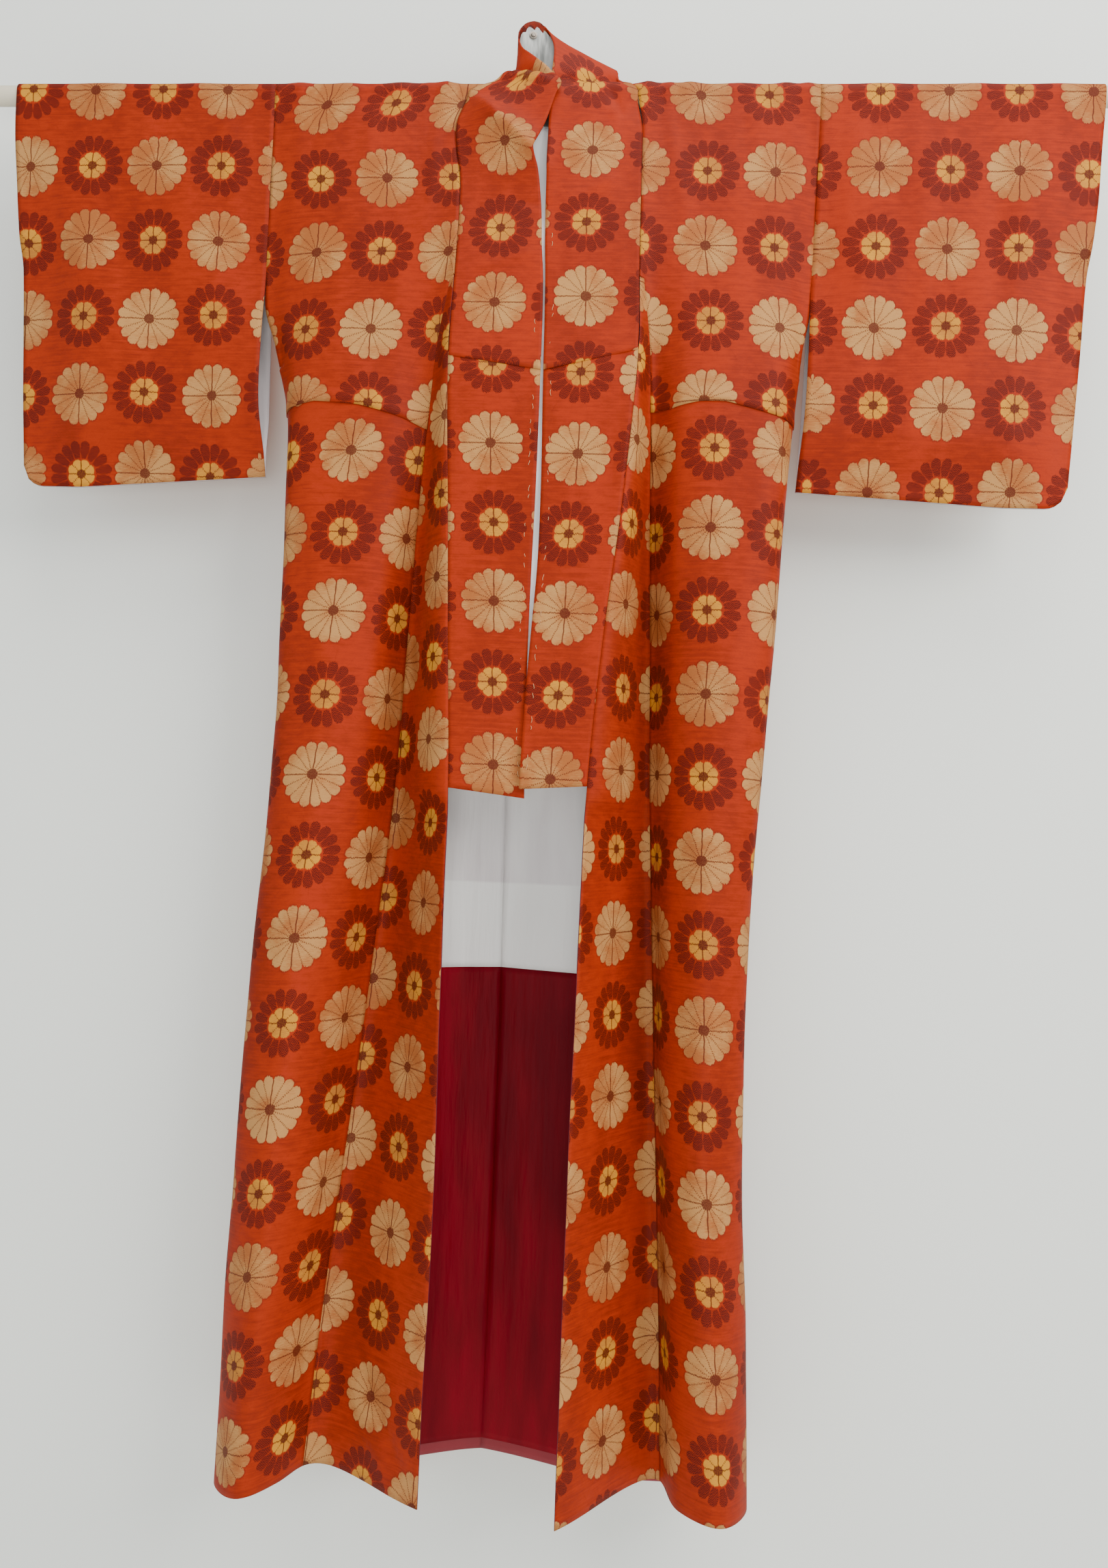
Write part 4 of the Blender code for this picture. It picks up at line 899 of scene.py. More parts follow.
def fold_heights(points):
    """Height of the over-collar's folds, each with its own width above and below, on what hangs in front."""
    height = np.zeros(points.shape[:2])
    x, z = points[..., 0], points[..., 2]
    for x0, z0, x1, z1, above, below, lift in COLLAR_FOLDS:
        way = np.array([x1 - x0, z1 - z0])
        length = np.linalg.norm(way)
        along = ((x - x0) * way[0] + (z - z0) * way[1]) / length**2
        off = ((z - z0) * way[0] - (x - x0) * way[1]) / length * np.sign(way[0])
        spread = np.where(off > 0, above, below)
        fade = smooth_step(along, -0.3, 0.35) * (1 - smooth_step(along, 0.95, 1.35))
        height += lift * fade * np.exp(-np.abs(off) / spread)
    on_right = np.arange(len(z))[:, None] > len(z) / 2
    hanging = np.where(on_right, smooth_step(-z, -0.045, -0.030), smooth_step(-z, -0.004, 0.016))
    return height * hanging * smooth_step(-points[..., 1], 0.0, 0.010)


def over_collar_grid(spacing):
    """Middle points of the over-collar, distances across and along it, its ridge and its part behind."""
    shares = np.linspace(0, 1, CLOTHS["over_collar"][2])
    rows = []
    for seam, free, corner in over_collar_stations():
        direction = (free - seam) / np.linalg.norm(free - seam)
        start = seam + direction * (NECK_EASE if seam[2] > NECK_FOOT else SEAM_GAP)
        lean = np.array([CORNER_LEAN * corner, 0.0, corner])
        fullness = np.interp(shares, (0.0, CORNER_SHARE, 1.0), (0.0, 1.0, 0.0))
        rows.append(start + (free - start) * shares[:, None] + lean * fullness[:, None])
    rows = np.array(rows)
    middle = rows[:, len(shares) // 2]
    reach = np.concatenate([[0.0], np.cumsum(np.linalg.norm(np.diff(middle, axis=0), axis=1))])
    at = spaced(0.0, reach[-1], spacing)
    flat = rows.reshape(len(rows), -1)
    points = hermite(reach, flat, np.gradient(flat, reach, axis=0), at).reshape(len(at), len(shares), 3)
    across = shares[None, :] * np.linalg.norm(points[:, -1] - points[:, 0], axis=1)[:, None]
    neck_reach = reach[1 + len(OVER_COLLAR_DROPS):]
    behind = [place for place, row in zip(neck_reach, NECK) if row[0] == "back"]
    station_at = {row[1]: place for place, row in zip(neck_reach, NECK) if row[0] == "left"}
    ridge = np.interp(shares, (0.0, 1.0), [station_at[drop] for drop in RIDGE_DROPS])
    points = points + ridge_shift(at, shares, ridge)
    return points, across, at, ridge, (behind[0], behind[-1])


def ridge_shift(at, shares, ridge):
    """The left flap's ridge over the rod, and the valley behind it that the standing part rises from."""
    middle = smooth_step(shares, 0.0, 0.22) * (1 - smooth_step(shares, 0.72, 1.0))
    past = at[:, None] - ridge[None, :]
    up = np.exp(-((past / 0.0050) ** 2)) * middle
    down = np.exp(-(((past - 0.0125) / 0.0060) ** 2)) * middle
    way_up, way_down = np.array([0.0, -0.004, 0.0050]), np.array([0.0, 0.0090, -0.0090])
    return up[..., None] * way_up + down[..., None] * way_down


def over_collar_cells(points, across, at, ridge):
    """Lattice coordinates: by drop on the hanging ends, and along the strip round the neck."""
    raised_rows = np.flatnonzero(points[:, points.shape[1] // 2, 2] > 0)
    first, last = at[raised_rows[0]], at[raised_rows[-1]]
    at = at[:, None]
    drops = -points[..., 2]
    left, right = (np.array(OVER_COLLAR_ROUNDS[side]).T for side in ("left", "right"))

    def hanging(rounds, column, where=drops):
        return np.interp(where, rounds[0], rounds[column])

    start = hanging(left, 1, 0.0)
    stop = -hanging(right, 1, 0.0)
    stop -= 2 * round((stop - start + (last - first) / ROW_PITCH) / 2)
    from_left = start - (at - first) / ROW_PITCH - VALLEY_TAKES * smooth_step(at - ridge, 0.005, 0.011)
    from_right = stop + (last - at) / ROW_PITCH
    v = np.where(at < (first + last) / 2, from_left, from_right)
    v = np.where(at < first, hanging(left, 1), v)
    v = np.where(at > last, stop - hanging(right, 1) + hanging(right, 1, 0.0), v)
    centre = np.interp(at, (first, last), (hanging(left, 2, 0.0), hanging(right, 2, 0.0)))
    centre = np.where(at < first, hanging(left, 2), centre)
    centre = np.where(at > last, hanging(right, 2), centre)
    return np.stack([(across - centre) / COLUMN_PITCH, v], axis=-1) + 0.5


def outward(points):
    """Unit normals that face the viewer at a grid's first row."""
    normals = grid_normals(points, 1)
    return normals if normals[0, points.shape[1] // 2, 1] < 0 else -normals


def make_over_collar(materials):
    """One strip of cloth from the left front, round the neck, to the right front."""
    points, across, at, ridge, _ = over_collar_grid(OVER_COLLAR_SPACING)
    near_end = 1 - smooth_step(np.minimum(at, at[-1] - at), 0.0, 0.05)
    height = fold_heights(points) + OVER_COLLAR_STEP * near_end[:, None]
    points = points + outward(points) * height[..., None]
    shell = Shell("over_collar", "over_collar")
    shell.add(points, outward(points), over_collar_cells(points, across, at, ridge))
    obj = shell.finish(materials)
    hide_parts("over_collar_left", "over_collar_neck", "over_collar_right")


def make_slot_lining(material):
    """The edge of pale lining behind the slot between the two collars."""
    shell = Shell("slot_lining_cloth", "slot_lining")
    shares = np.linspace(0, 1, shell.columns)
    rows = []
    for drop in spaced(SLOT_TOP, SLOT_FOOT, LINING_SPACING):
        x, y = free_edge("left", max(drop, FREE_EDGES[0][0]))
        wave = 0.0010 * np.sin(drop * 46 + shares * 4)
        behind = SLOT_GAP + SLOT_DEPTH * (1 - smooth_step(drop, 0.11, 0.19))
        y = y + behind + wave + 0.0012 * shares
        rows.append(np.column_stack([x - SLOT_INSET + SLOT_WIDTH * shares, y, np.full(len(shares), -drop)]))
    points = np.array(rows)
    shell.add(points, outward(points), points[..., ::2])
    obj = shell.finish([material, material])
    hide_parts("collar_lining_left")


def make_neck_lining(material):
    """The pale inside of the standing collar; the outer cloth shows above its wavy upper edge."""
    points, _, at, _, (first, last) = over_collar_grid(NECK_LINING_SPACING)
    rows = (at > first - NECK_LINING_PAST) & (at < last + NECK_LINING_PAST)
    points, at = points[rows], at[rows]
    normals = outward(points)
    shares = np.linspace(0, 1, points.shape[1])
    grid = np.empty_like(points)
    flat = np.empty_like(points)
    for r, place in enumerate(at):
        wave = 0.06 * abs(math.sin(place * 210)) + 0.03 * math.sin(place * 61 + 1.0)
        wanted = NECK_LINING_START + (NECK_LINING_TOP + wave - NECK_LINING_START) * shares
        for axis in range(3):
            grid[r, :, axis] = np.interp(wanted, shares, points[r, :, axis])
            flat[r, :, axis] = np.interp(wanted, shares, normals[r, :, axis])
    along, share = np.meshgrid(at, shares, indexing="ij")
    folds = 0.0018 * np.abs(np.sin(along * 150 + share * 1.6)) * (1 - share * 0.5)
    grid = grid - flat * (NECK_LINING_GAP + folds)[..., None]
    shell = Shell("neck_lining_cloth", "neck_lining")
    shell.add(grid, flat, np.stack([along, share], axis=-1))
    obj = shell.finish([material, material])
    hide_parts("collar_lining_neck")


# Basting stitches along the collars' free edges: drops where a pair starts, and where its two start
STITCH_DROPS = {
    "left": (
        0.292, 0.331, 0.383, 0.412, 0.449, 0.488, 0.531, 0.566, 0.603, 0.641, 0.684, 0.722, 0.764, 0.803,
    ),
    "right": (
        0.186, 0.274, 0.318, 0.366, 0.431, 0.470, 0.512, 0.557, 0.590, 0.632, 0.671, 0.715, 0.752, 0.795,
    ),
}
STITCH_STARTS = (0.0, 0.0105)
STITCH_INSET = 0.0085
STITCH_LENGTH = 0.0058
STITCH_LIFT = 0.0008
STITCH_ARCH = 0.0006
THREAD_RADII = (0.00028, 0.00025)
# A stitch's rings, and the turns of a ring's corners
STITCH_RINGS = 5
THREAD_TURNS = (0.0, 1.26, 2.51, 3.77, 5.03)


def add_stitch(mesh, side, i, drop, apart):
    """One stitch of the pair numbered i, a bent thread with closed ends that lies on the cloth."""
    inset = STITCH_INSET + 0.0012 * math.sin(i * 2.3)
    length = STITCH_LENGTH + 0.0014 * math.sin(i * 1.7 + apart * 300)
    rx, ry = THREAD_RADII
    rings = []
    for k in range(STITCH_RINGS):
        share = k / (STITCH_RINGS - 1)
        at = drop + apart + length * share
        x, y = free_edge(side, at)
        x = x + sign_of(side) * (inset + 0.0006 * math.sin(k + i))
        y = y - COLLAR_BEND * inset - STITCH_LIFT - STITCH_ARCH * math.sin(math.pi * share)
        corners = [(x + rx * math.cos(a), y + ry * math.sin(a), -at) for a in THREAD_TURNS]
        rings.append([mesh.verts.new(corner) for corner in corners])
    mesh.faces.new(rings[0])
    for before, ring in zip(rings, rings[1:]):
        for j in range(len(ring)):
            after = (j + 1) % len(ring)
            mesh.faces.new((before[j], before[after], ring[after], ring[j])).smooth = True
    mesh.faces.new(rings[-1][::-1])


def make_stitches(material):
    """Small pairs of loose cream stitches."""
    mesh = bmesh.new()
    for side, drops in STITCH_DROPS.items():
        for i, drop in enumerate(drops):
            for apart in STITCH_STARTS:
                add_stitch(mesh, side, i, drop, apart)
    bmesh.ops.recalc_face_normals(mesh, faces=mesh.faces)
    obj = make_object("basting_stitches", mesh, [material])
    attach(obj, "root")


def make_linings(side, pale, crimson):
    """The two parts of the lining inside the back."""
    spans = (
        ("upper", LINING_TOP, LINING_CHANGE, pale, "pale_lining"),
        ("lower", LINING_CHANGE, LINING_HEM, crimson, "crimson_lining"),
    )
    for level, top, bottom, material, slot in spans:
        shell = Shell(f"lining_{level}_{side}_cloth", "lining")
        drops = spaced(top, bottom, LINING_SPACING)
        points, across, drops = panel_grid(side, True, drops, shell.columns, lambda drop: (0.4, 3))
        normals = grid_normals(points, -sign_of(side))
        fade = border_fade(shell.columns, PANEL_WIDTH, first=False)
        height = crease_heights(f"back_{side}", across, drops) * fade
        points = points + normals * (height - LINING_GAP)[..., None]
        shell.add(points, normals, np.stack([across, drops], axis=-1))
        obj = shell.finish([material, material])
        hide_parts(f"lining_{level}_{side}")


SHADER_INPUTS = {
    "colour": "Base Color", "rough": "Roughness", "normal": "Normal", "metal": "Metallic",
    "specular": "Specular IOR Level", "sheen": "Sheen Weight", "sheen_rough": "Sheen Roughness",
    "sheen_tint": "Sheen Tint",
}


class Nodes:
    """Short calls for building a material's node tree."""

    def __init__(self, name):
        self.material = bpy.data.materials.new(name)
        self.material.use_nodes = True
        self.tree = self.material.node_tree
        self.shader = self.tree.nodes["Principled BSDF"]

    def node(self, kind, inputs=(), **settings):
        """A new node; inputs pairs its sockets with values or with outputs of other nodes."""
        made = self.tree.nodes.new(kind)
        for key, value in settings.items():
            setattr(made, key, value)
        for key, value in dict(inputs).items():
            self.put(made.inputs[key], value)
        return made

    def put(self, socket, value):
        if hasattr(value, "is_output"):
            self.tree.links.new(value, socket)
        else:
            socket.default_value = value

    def math(self, operation, *values):
        return self.node("ShaderNodeMath", enumerate(values), operation=operation).outputs[0]

    def plus(self, a, b):
        return self.math("ADD", a, b)

    def minus(self, a, b):
        return self.math("SUBTRACT", a, b)

    def times(self, a, b):
        return self.math("MULTIPLY", a, b)

    def magnitude(self, value):
        return self.math("ABSOLUTE", value)

    def fraction(self, value):
        return self.math("FRACT", value)

    def line(self, value, factor, base):
        """The value times the factor, plus the base."""
        return self.plus(self.times(value, factor), base)

    def centred(self, value, factor):
        """What the value has above 0.5, times the factor."""
        return self.times(self.minus(value, 0.5), factor)

    def step(self, value, low, high):
        """0 below low, 1 above high and smooth between; falls instead where low is above high."""
        inputs = {"Value": value, "From Min": low, "From Max": high}
        return self.node("ShaderNodeMapRange", inputs, interpolation_type="SMOOTHSTEP").outputs["Result"]

    def mix(self, factor, a, b, blend="MIX"):
        inputs = {0: factor, 6: a, 7: b}
        return self.node("ShaderNodeMix", inputs, data_type="RGBA", blend_type=blend).outputs[2]

    def place(self):
        return self.node("ShaderNodeTexCoord").outputs["Object"]

    def scaled(self, vector, scale):
        return self.node("ShaderNodeVectorMath", {0: vector, 1: scale}, operation="MULTIPLY").outputs[0]

    def noise(self, vector, scale, detail=2.0, rough=0.5):
        inputs = {"Vector": vector, "Scale": scale, "Detail": detail, "Roughness": rough}
        return self.node("ShaderNodeTexNoise", inputs).outputs["Fac"]

    def grain(self, vector, scales, detail=2.0, rough=0.5):
        """Noise with its own scale along each axis."""
        return self.noise(self.scaled(vector, scales), 1.0, detail, rough)

    def split(self, vector):
        return self.node("ShaderNodeSeparateXYZ", {0: vector}).outputs

    def arch(self, value):
        """Height of a half circle over -1 to 1, and 0 outside."""
        left = self.math("MAXIMUM", self.minus(1.0, self.times(value, value)), 0.0)
        return self.math("SQRT", left)

    def bump(self, height, distance, strength, normal=None):
        inputs = {"Strength": strength, "Distance": distance, "Height": height}
        if normal is not None:
            inputs["Normal"] = normal
        return self.node("ShaderNodeBump", inputs).outputs["Normal"]

    def set(self, **values):
        for key, value in values.items():
            self.put(self.shader.inputs[SHADER_INPUTS[key]], value)
        return self.material


def srgb(r, g, b):
    def linear(c):
        c = c / 255
        return c / 12.92 if c <= 0.04045 else ((c + 0.055) / 1.055) ** 2.4
    return (linear(r), linear(g), linear(b), 1.0)


GROUND = srgb(164, 44, 11)
GROUND_DEEP = srgb(134, 34, 9)
GOLD = srgb(184, 133, 78)
GOLD_DEEP = srgb(160, 92, 46)
YELLOW = srgb(202, 138, 40)
DARK = srgb(84, 17, 9)
RED = srgb(118, 26, 12)


# The rounds' petals, and sizes in metres: how far a round may lie off its place across and down, how far
# its edges are frayed down and across, its dotted lines, and the fall of soft edges
PETALS = 16
ROUND_DRIFT = (0.0035, 0.0045)
FRAY_DOWN, FRAY_ACROSS = 0.0046, 0.0022
DOT_PITCH = 0.0022
LINE_EDGE = (0.00095, 0.00045)
SOFT_EDGE = (0.0005, -0.0004)
# Gold round: its radius between petals and how far they bulge past it, its heart, and the red halo
GOLD_RADIUS, GOLD_BULGE = 0.0306, 0.0068
GOLD_HEART = (0.0063, 0.0054)
GOLD_LINE_START = (0.0048, 0.0056)
HALO_MIDDLE = 0.0008
HALO_EDGE = (0.0017, 0.0003)
# Dark round: where its spoons start, widen and round off, half their least width and what they gain
SPOON_START = (0.0182, 0.0192)
SPOON_WIDENING = (0.0170, 0.0300)
SPOON_TIP, SPOON_ROUNDING = 0.0335, 0.0050
SPOON_WIDTH, SPOON_GAIN = 0.0027, 0.0029
SPOON_EDGE = (0.0004, -0.0005)
# Yellow flower in the dark round: radius between petals, bulge and heart
YELLOW_RADIUS, YELLOW_BULGE = 0.0136, 0.0034
YELLOW_HEART = (0.0059, 0.0050)


def figured_material(name, lift=0.0):
    """Orange-red crepe with woven gold and dark flower rounds; lift makes it lighter."""
    n = Nodes(name)
    uv = n.node("ShaderNodeUVMap", uv_map="Cells").outputs["UV"]
    metres = n.scaled(uv, (COLUMN_PITCH, ROW_PITCH, 1.0))
    cell = n.node("ShaderNodeVectorMath", {0: uv}, operation="FLOOR").outputs[0]
    part_u, part_v = n.split(uv)[:2]
    whole_u, whole_v = n.split(cell)[:2]
    is_dark = n.math("GREATER_THAN", n.math("FLOORED_MODULO", n.plus(whole_u, whole_v), 2.0), 0.5)
    drift = n.node("ShaderNodeTexWhiteNoise", {"Vector": cell}, noise_dimensions="2D")
    drifts = n.split(drift.outputs["Color"])

    def local(part, index, pitch):
        return n.plus(n.centred(n.fraction(part), pitch), n.centred(drifts[index], ROUND_DRIFT[index]))

    def grain(u_scale, v_scale, detail=2.0, rough=0.5):
        return n.grain(metres, (u_scale, v_scale, 1.0), detail, rough)

    # Warp threads carry the figure's edges a little up and down
    fuzz = n.centred(grain(1500.0, 90.0, 1.0), FRAY_DOWN)
    wander = n.centred(n.noise(metres, 130.0, 1.0), FRAY_ACROSS)
    x = n.plus(local(part_u, 0, COLUMN_PITCH), wander)
    y = n.plus(local(part_v, 1, ROW_PITCH), fuzz)
    radius = n.math("SQRT", n.plus(n.times(x, x), n.times(y, y)))
    turn = n.times(n.math("ARCTAN2", y, x), PETALS / (2 * math.pi))
    across = n.centred(n.fraction(turn), 2.0)
    arc = n.times(radius, 2 * math.pi / PETALS)
    from_line = n.times(n.magnitude(n.minus(n.fraction(n.plus(turn, 0.5)), 0.5)), arc)
    from_middle = n.times(n.magnitude(across), n.times(arc, 0.5))
    dots = n.math("GREATER_THAN", n.fraction(n.math("DIVIDE", radius, DOT_PITCH)), 0.42)
    line = n.step(from_line, *LINE_EDGE)
    which = n.math("ROUND", turn)
    weft = grain(160.0, 900.0, 2.0, 0.6)
    shot = n.noise(metres, 26.0)
    speckle = n.step(n.noise(metres, 1100.0, 1.0), 0.52, 0.44)

    # Gold round
    past_edge = n.minus(radius, n.line(n.arch(across), GOLD_BULGE, GOLD_RADIUS))
    gold_in = n.step(past_edge, *SOFT_EDGE)
    halo = n.step(n.magnitude(n.minus(past_edge, HALO_MIDDLE)), *HALO_EDGE)
    cardinal = n.math("LESS_THAN", n.magnitude(n.math("FLOORED_MODULO", which, 4.0)), 0.5)
    shown = n.math("MAXIMUM", cardinal, n.times(dots, 0.9))
    gold_line = n.times(n.times(line, shown), n.step(radius, *GOLD_LINE_START))
    worn = n.plus(n.times(shot, 0.75), n.times(weft, 0.4))
    worn = n.step(n.plus(worn, n.times(drifts[2], 0.16)), 0.50, 0.82)
    gold = n.mix(worn, GOLD, GOLD_DEEP)
    gold = n.mix(n.times(gold_line, 0.85), gold, DARK)
    heart_shade = n.line(speckle, 0.16, 0.80)
    gold = n.mix(n.times(n.step(radius, *GOLD_HEART), heart_shade), gold, DARK)

    # Dark round: sixteen hatched spoons about a yellow flower of eight petals
    tip = n.math("MAXIMUM", n.math("DIVIDE", n.minus(radius, SPOON_TIP), SPOON_ROUNDING), 0.0)
    width = n.line(n.step(radius, *SPOON_WIDENING), SPOON_GAIN, SPOON_WIDTH)
    spoon = n.step(n.minus(from_middle, n.times(width, n.arch(tip))), *SPOON_EDGE)
    spoon = n.times(spoon, n.step(radius, *SPOON_START))
    diagonal = n.math("SINE", n.times(n.plus(x, n.times(y, 0.85)), 3000.0))
    hatch = n.step(n.plus(n.times(diagonal, 0.42), grain(420.0, 300.0, 2.0, 0.6)), 0.22, 0.50)
    spoon_fill = n.times(spoon, n.line(hatch, 0.64, 0.34))
    yellow_across = n.centred(n.fraction(n.times(turn, 0.5)), 2.0)
    yellow_edge = n.line(n.arch(yellow_across), YELLOW_BULGE, YELLOW_RADIUS)
    yellow_in = n.step(n.minus(radius, yellow_edge), *SOFT_EDGE)
    between = n.math("LESS_THAN", n.math("FLOORED_MODULO", which, 2.0), 0.5)
    yellow_line = n.times(n.times(line, between), n.math("MAXIMUM", cardinal, dots))
    yellow = n.mix(n.times(worn, 0.7), YELLOW, GOLD_DEEP)
    yellow = n.mix(n.times(yellow_line, 0.85), yellow, DARK)
    yellow = n.mix(n.times(n.step(radius, *YELLOW_HEART), heart_shade), yellow, DARK)

    # Ground, then the two kinds of round laid on it
    mottle = grain(60.0, 150.0, 3.0, 0.6)
    tone = n.plus(n.times(grain(14.0, 420.0, 3.0, 0.6), 0.3), n.times(mottle, 0.3))
    tone = n.step(n.plus(tone, n.times(grain(13.0, 3.0), 0.4)), 0.38, 0.60)
    streak = n.step(grain(26.0, 560.0, 1.0), 0.70, 0.76)
    ground = n.mix(n.times(streak, 0.55), n.mix(tone, GROUND_DEEP, GROUND), RED)
    gold_round = n.mix(gold_in, n.mix(n.times(halo, 0.6), ground, RED), gold)
    dark_round = n.mix(yellow_in, n.mix(spoon_fill, ground, DARK), yellow)
    figure = n.mix(is_dark, gold_round, dark_round)
    # Fine thread tone times the lift. The collar's inside takes a low lift, which darkens the whole cloth as
    # painted shade
    shade = n.line(grain(300.0, 1700.0), 0.26, 0.87 + lift)
    grey = n.node("ShaderNodeCombineColor", {0: shade, 1: shade, 2: shade}).outputs[0]
    colour = n.mix(1.0, figure, grey, "MULTIPLY")

    relief = n.plus(n.times(grain(900.0, 2200.0), 0.5), n.times(grain(22.0, 650.0), 0.5))
    normal = n.bump(relief, 0.00035, 0.6)
    normal = n.bump(grain(28.0, 10.0, 3.0), 0.0022, 0.5, normal)
    n.set(colour=colour, rough=n.line(mottle, 0.16, 0.50), normal=normal, specular=0.11)
    return n.set(sheen=0.03, sheen_rough=0.5, sheen_tint=srgb(255, 150, 90))


def lining_material(name, light, shade, gloss, whiter=None, streaks=14.0):
    """Plain silk, smooth, with faint vertical creases; whiter is the drop from which it turns brighter."""
    n = Nodes(name)
    place = n.place()
    cloud = n.grain(place, (streaks, streaks, streaks / 5), 3.0, 0.6)
    colour = n.mix(n.step(cloud, 0.34, 0.68), shade, light)
    if whiter is not None:
        height = n.split(place)[2]
        colour = n.mix(n.step(height, 0.002 - whiter, -0.002 - whiter), colour, srgb(244, 242, 238))
    normal = n.bump(n.grain(place, (1500.0, 1500.0, 1900.0), 1.0), 0.0002, 0.5)
    normal = n.bump(n.grain(place, (60.0, 60.0, 7.0), 3.0, 0.55), 0.004, 0.6, normal)
    return n.set(colour=colour, rough=0.5, normal=normal, specular=gloss)


def inside_material(name):
    """The lining as it shows inside the fronts: pale above, crimson below."""
    n = Nodes(name)
    place = n.place()
    low = n.step(n.split(place)[2], 0.0005 - LINING_CHANGE, -0.0005 - LINING_CHANGE)
    cloud = n.grain(place, (9.0, 9.0, 3.5), 3.0, 0.6)
    pale = n.mix(cloud, srgb(196, 188, 186), srgb(232, 228, 224))
    crimson = n.mix(cloud, srgb(112, 8, 24), srgb(150, 16, 34))
    normal = n.bump(n.grain(place, (60.0, 60.0, 7.0), 3.0, 0.55), 0.003, 0.5)
    return n.set(colour=n.mix(low, pale, crimson), rough=0.5, normal=normal, sheen=0.12, specular=0.4)


def piping_material():
    """The roll of crimson lining that edges the hems and cuffs."""
    n = Nodes("hem_roll_finish")
    place = n.place()
    colour = n.mix(n.noise(place, 70.0), srgb(72, 12, 30), srgb(112, 20, 36))
    normal = n.bump(n.noise(place, 900.0, 1.0), 0.0003, 0.5)
    return n.set(colour=colour, rough=0.55, normal=normal, specular=0.3)


def thread_material():
    """Loose cream basting thread."""
    n = Nodes("basting_thread_finish")
    twist = n.grain(n.place(), (2600.0, 2600.0, 1400.0), 1.0)
    colour = n.mix(twist, srgb(198, 138, 88), srgb(222, 184, 140))
    return n.set(colour=colour, rough=0.7, normal=n.bump(twist, 0.0002, 0.6), specular=0.2)


def rod_material():
    """Cream paint over a drawn tube, with faint lengthwise ridges and small scuffs."""
    n = Nodes("rod_paint_finish")
    place = n.place()
    ridge = n.grain(place, (1.5, 420.0, 420.0))
    scuff = n.grain(place, (40.0, 160.0, 160.0), 4.0, 0.7)
    colour = n.mix(n.step(scuff, 0.62, 0.74), srgb(228, 217, 192), srgb(196, 180, 150))
    normal = n.bump(ridge, 0.0004, 0.5)
    return n.set(colour=colour, rough=n.line(scuff, 0.2, 0.32), normal=normal, specular=0.5)


def metal_material():
    n = Nodes("snap_metal_finish")
    tarnish = n.grain(n.place(), (900.0, 900.0, 900.0), 3.0)
    colour = n.mix(tarnish, srgb(96, 84, 72), srgb(176, 168, 156))
    normal = n.bump(tarnish, 0.0001, 0.5)
    return n.set(colour=colour, rough=n.line(tarnish, 0.3, 0.25), metal=1.0, normal=normal)


def stage_plane(name, corners, material):
    mesh = bmesh.new()
    mesh.faces.new([mesh.verts.new(corner) for corner in corners])
    obj = make_object(name, mesh, [material])
    return obj


def make_stage():
    """A pale floor below the hem and a pale wall that is seen from the front only."""
    pale = srgb(247, 249, 242)
    floor = ((-1, -1), (1, -1), (1, 1), (-1, 1))
    corners = [(x * FLOOR_REACH, y * FLOOR_REACH, FLOOR_Z) for x, y in floor]
    stage_plane("floor", corners, Nodes("stage_floor").set(colour=pale, rough=0.9))
    n = Nodes("stage_wall")
    material = n.set(colour=pale, rough=0.95)
    clear = n.node("ShaderNodeBsdfTransparent").outputs[0]
    from_behind = n.node("ShaderNodeNewGeometry").outputs["Backfacing"]
    choose = n.node("ShaderNodeMixShader", {0: from_behind, 1: n.shader.outputs[0], 2: clear})
    n.put(n.tree.nodes["Material Output"].inputs["Surface"], choose.outputs[0])
    upright = ((-1, FLOOR_Z), (1, FLOOR_Z), (1, WALL_TOP), (-1, WALL_TOP))
    wall = stage_plane("backdrop", [(x * WALL_REACH, WALL_Y, z) for x, z in upright], material)
    wall.visible_diffuse = False
    wall.visible_glossy = False
    wall.visible_transmission = False
    wall.visible_shadow = False


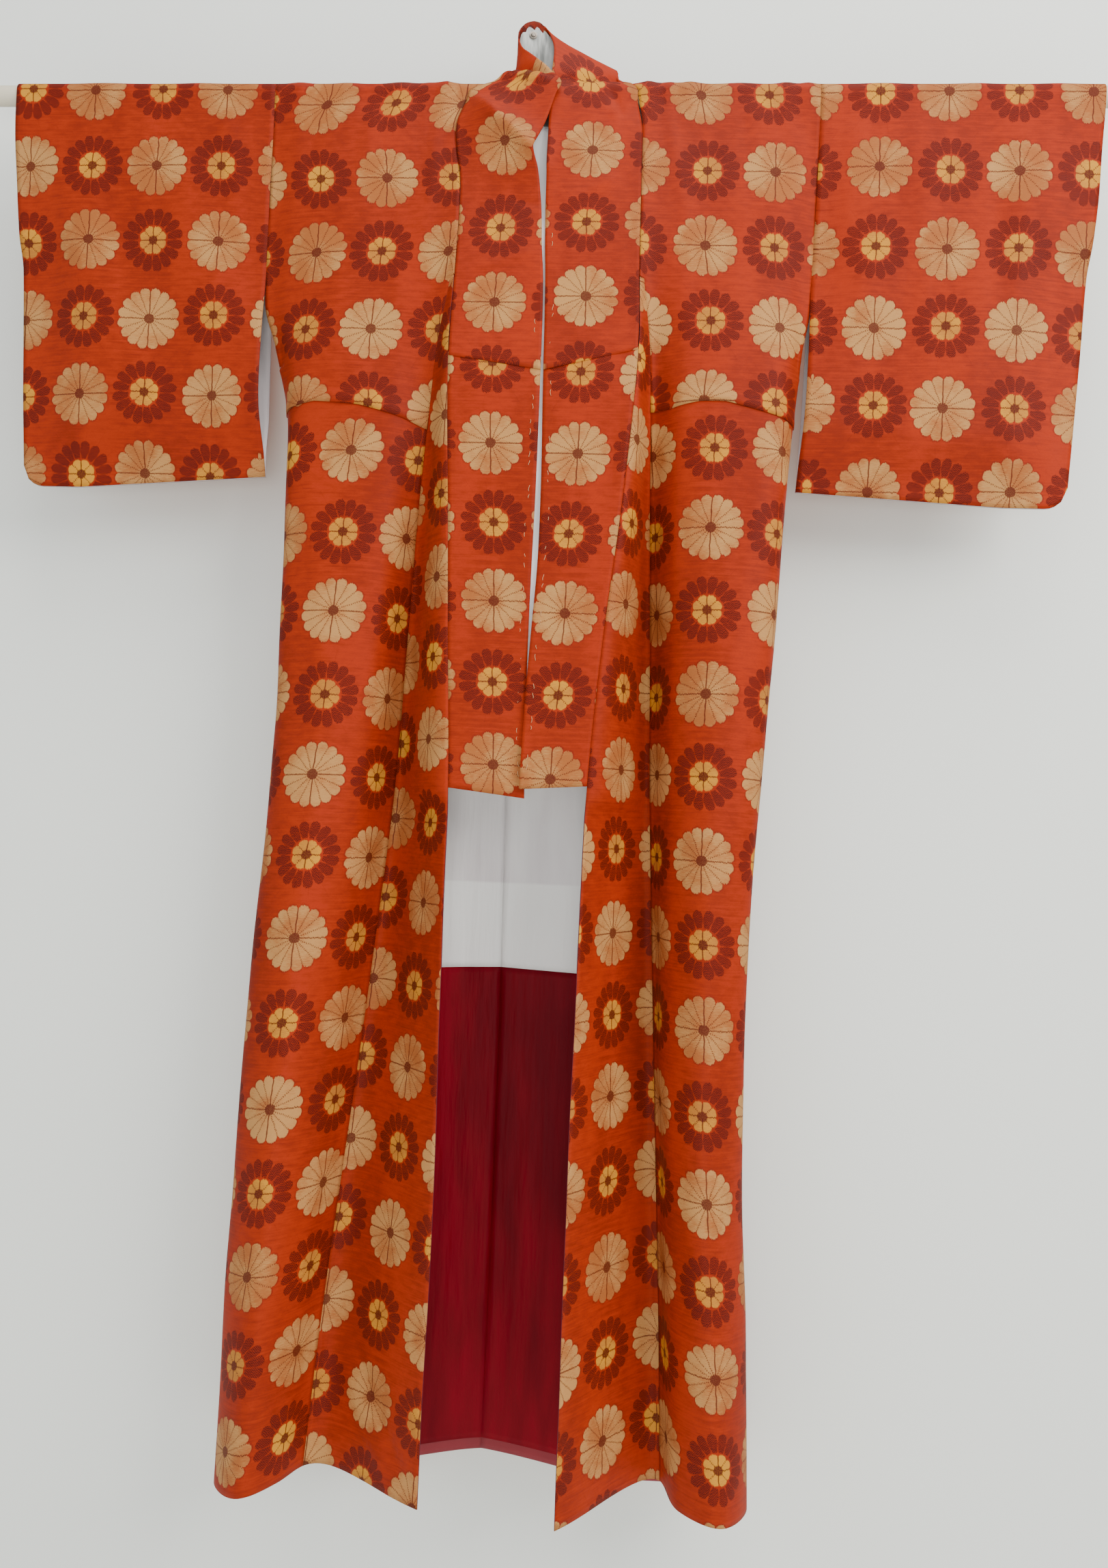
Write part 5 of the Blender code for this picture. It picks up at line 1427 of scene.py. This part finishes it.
def make_camera():
    yaw, pitch, roll = (math.radians(angle) for angle in (CAMERA_YAW, CAMERA_PITCH, CAMERA_ROLL))
    turn = Matrix.Rotation(yaw, 3, "Z") @ Matrix.Rotation(pitch, 3, "X") @ Matrix.Rotation(roll, 3, "Y")
    right, ahead, up = (turn @ Vector(axis) for axis in ((1, 0, 0), (0, 1, 0), (0, 0, 1)))
    data = bpy.data.cameras.new("photo_camera")
    data.sensor_fit = "VERTICAL"
    data.sensor_height = SENSOR_HEIGHT
    data.lens = SENSOR_HEIGHT * CAMERA_FOCAL_SHARE
    camera = bpy.data.objects.new("photo_camera", data)
    columns = Matrix((right, up, -ahead)).transposed()
    camera.matrix_world = Matrix.Translation(CAMERA_PLACE) @ columns.to_4x4()
    bpy.context.scene.collection.objects.link(camera)
    bpy.context.scene.camera = camera


def make_lights():
    for name, place, target, size, power, colour in LIGHTS:
        data = bpy.data.lights.new(name, "AREA")
        data.size = size
        data.energy = power
        data.color = colour
        light = bpy.data.objects.new(name, data)
        light.location = place
        light.rotation_euler = (Vector(target) - Vector(place)).to_track_quat("-Z", "Y").to_euler()
        bpy.context.scene.collection.objects.link(light)
    world = bpy.data.worlds.new("studio")
    world.use_nodes = True
    background = world.node_tree.nodes["Background"]
    background.inputs["Color"].default_value = WORLD_COLOUR
    background.inputs["Strength"].default_value = WORLD_STRENGTH
    bpy.context.scene.world = world


def dress_node(node, material):
    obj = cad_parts[node]
    obj.data.materials.clear()
    obj.data.materials.append(material)
    obj.data.shade_smooth()


def main():
    figured = figured_material("figured_cloth_finish")
    collar = figured_material("collar_cloth_finish", lift=0.02)
    inside = inside_material("front_lining_finish")
    pale_light, pale_shade = srgb(238, 234, 232), srgb(220, 212, 212)
    pale = lining_material("pale_lining_finish", pale_light, pale_shade, 0.35, whiter=PALE_WHITER)
    crimson = lining_material("crimson_lining_finish", srgb(136, 5, 27), srgb(100, 2, 18), 0.08)
    piping, thread = piping_material(), thread_material()
    # A much darker copy of the collar cloth for the over-collar's inner face: painted shade where the strip
    # rolls over inside the neck
    shaded_collar_inside = figured_material("collar_inside_finish", lift=-0.46)
    # The pale lining made grey and streaked inside the standing collar: painted shade, and painted fold
    # shading in its tight vertical streaks
    neck_light, neck_shade = srgb(192, 193, 187), srgb(110, 112, 108)
    neck_lining_shaded = lining_material("neck_lining_painted_shade", neck_light, neck_shade, 0.6, streaks=75.0)
    for side in ("left", "right"):
        make_body(side, [figured, inside, piping])
        make_overlap(side, [figured, inside, piping])
        make_sleeve(side, [figured, pale, piping])
        make_lower_collar(side, [collar, pale])
        make_linings(side, pale, crimson)
    make_over_collar([collar, shaded_collar_inside])
    make_neck_lining(neck_lining_shaded)
    make_slot_lining(pale)
    make_stitches(thread)
    dress_node("rod", rod_material())
    dress_node("collar_snap", metal_material())
    make_stage()
    make_lights()
    make_camera()


main()
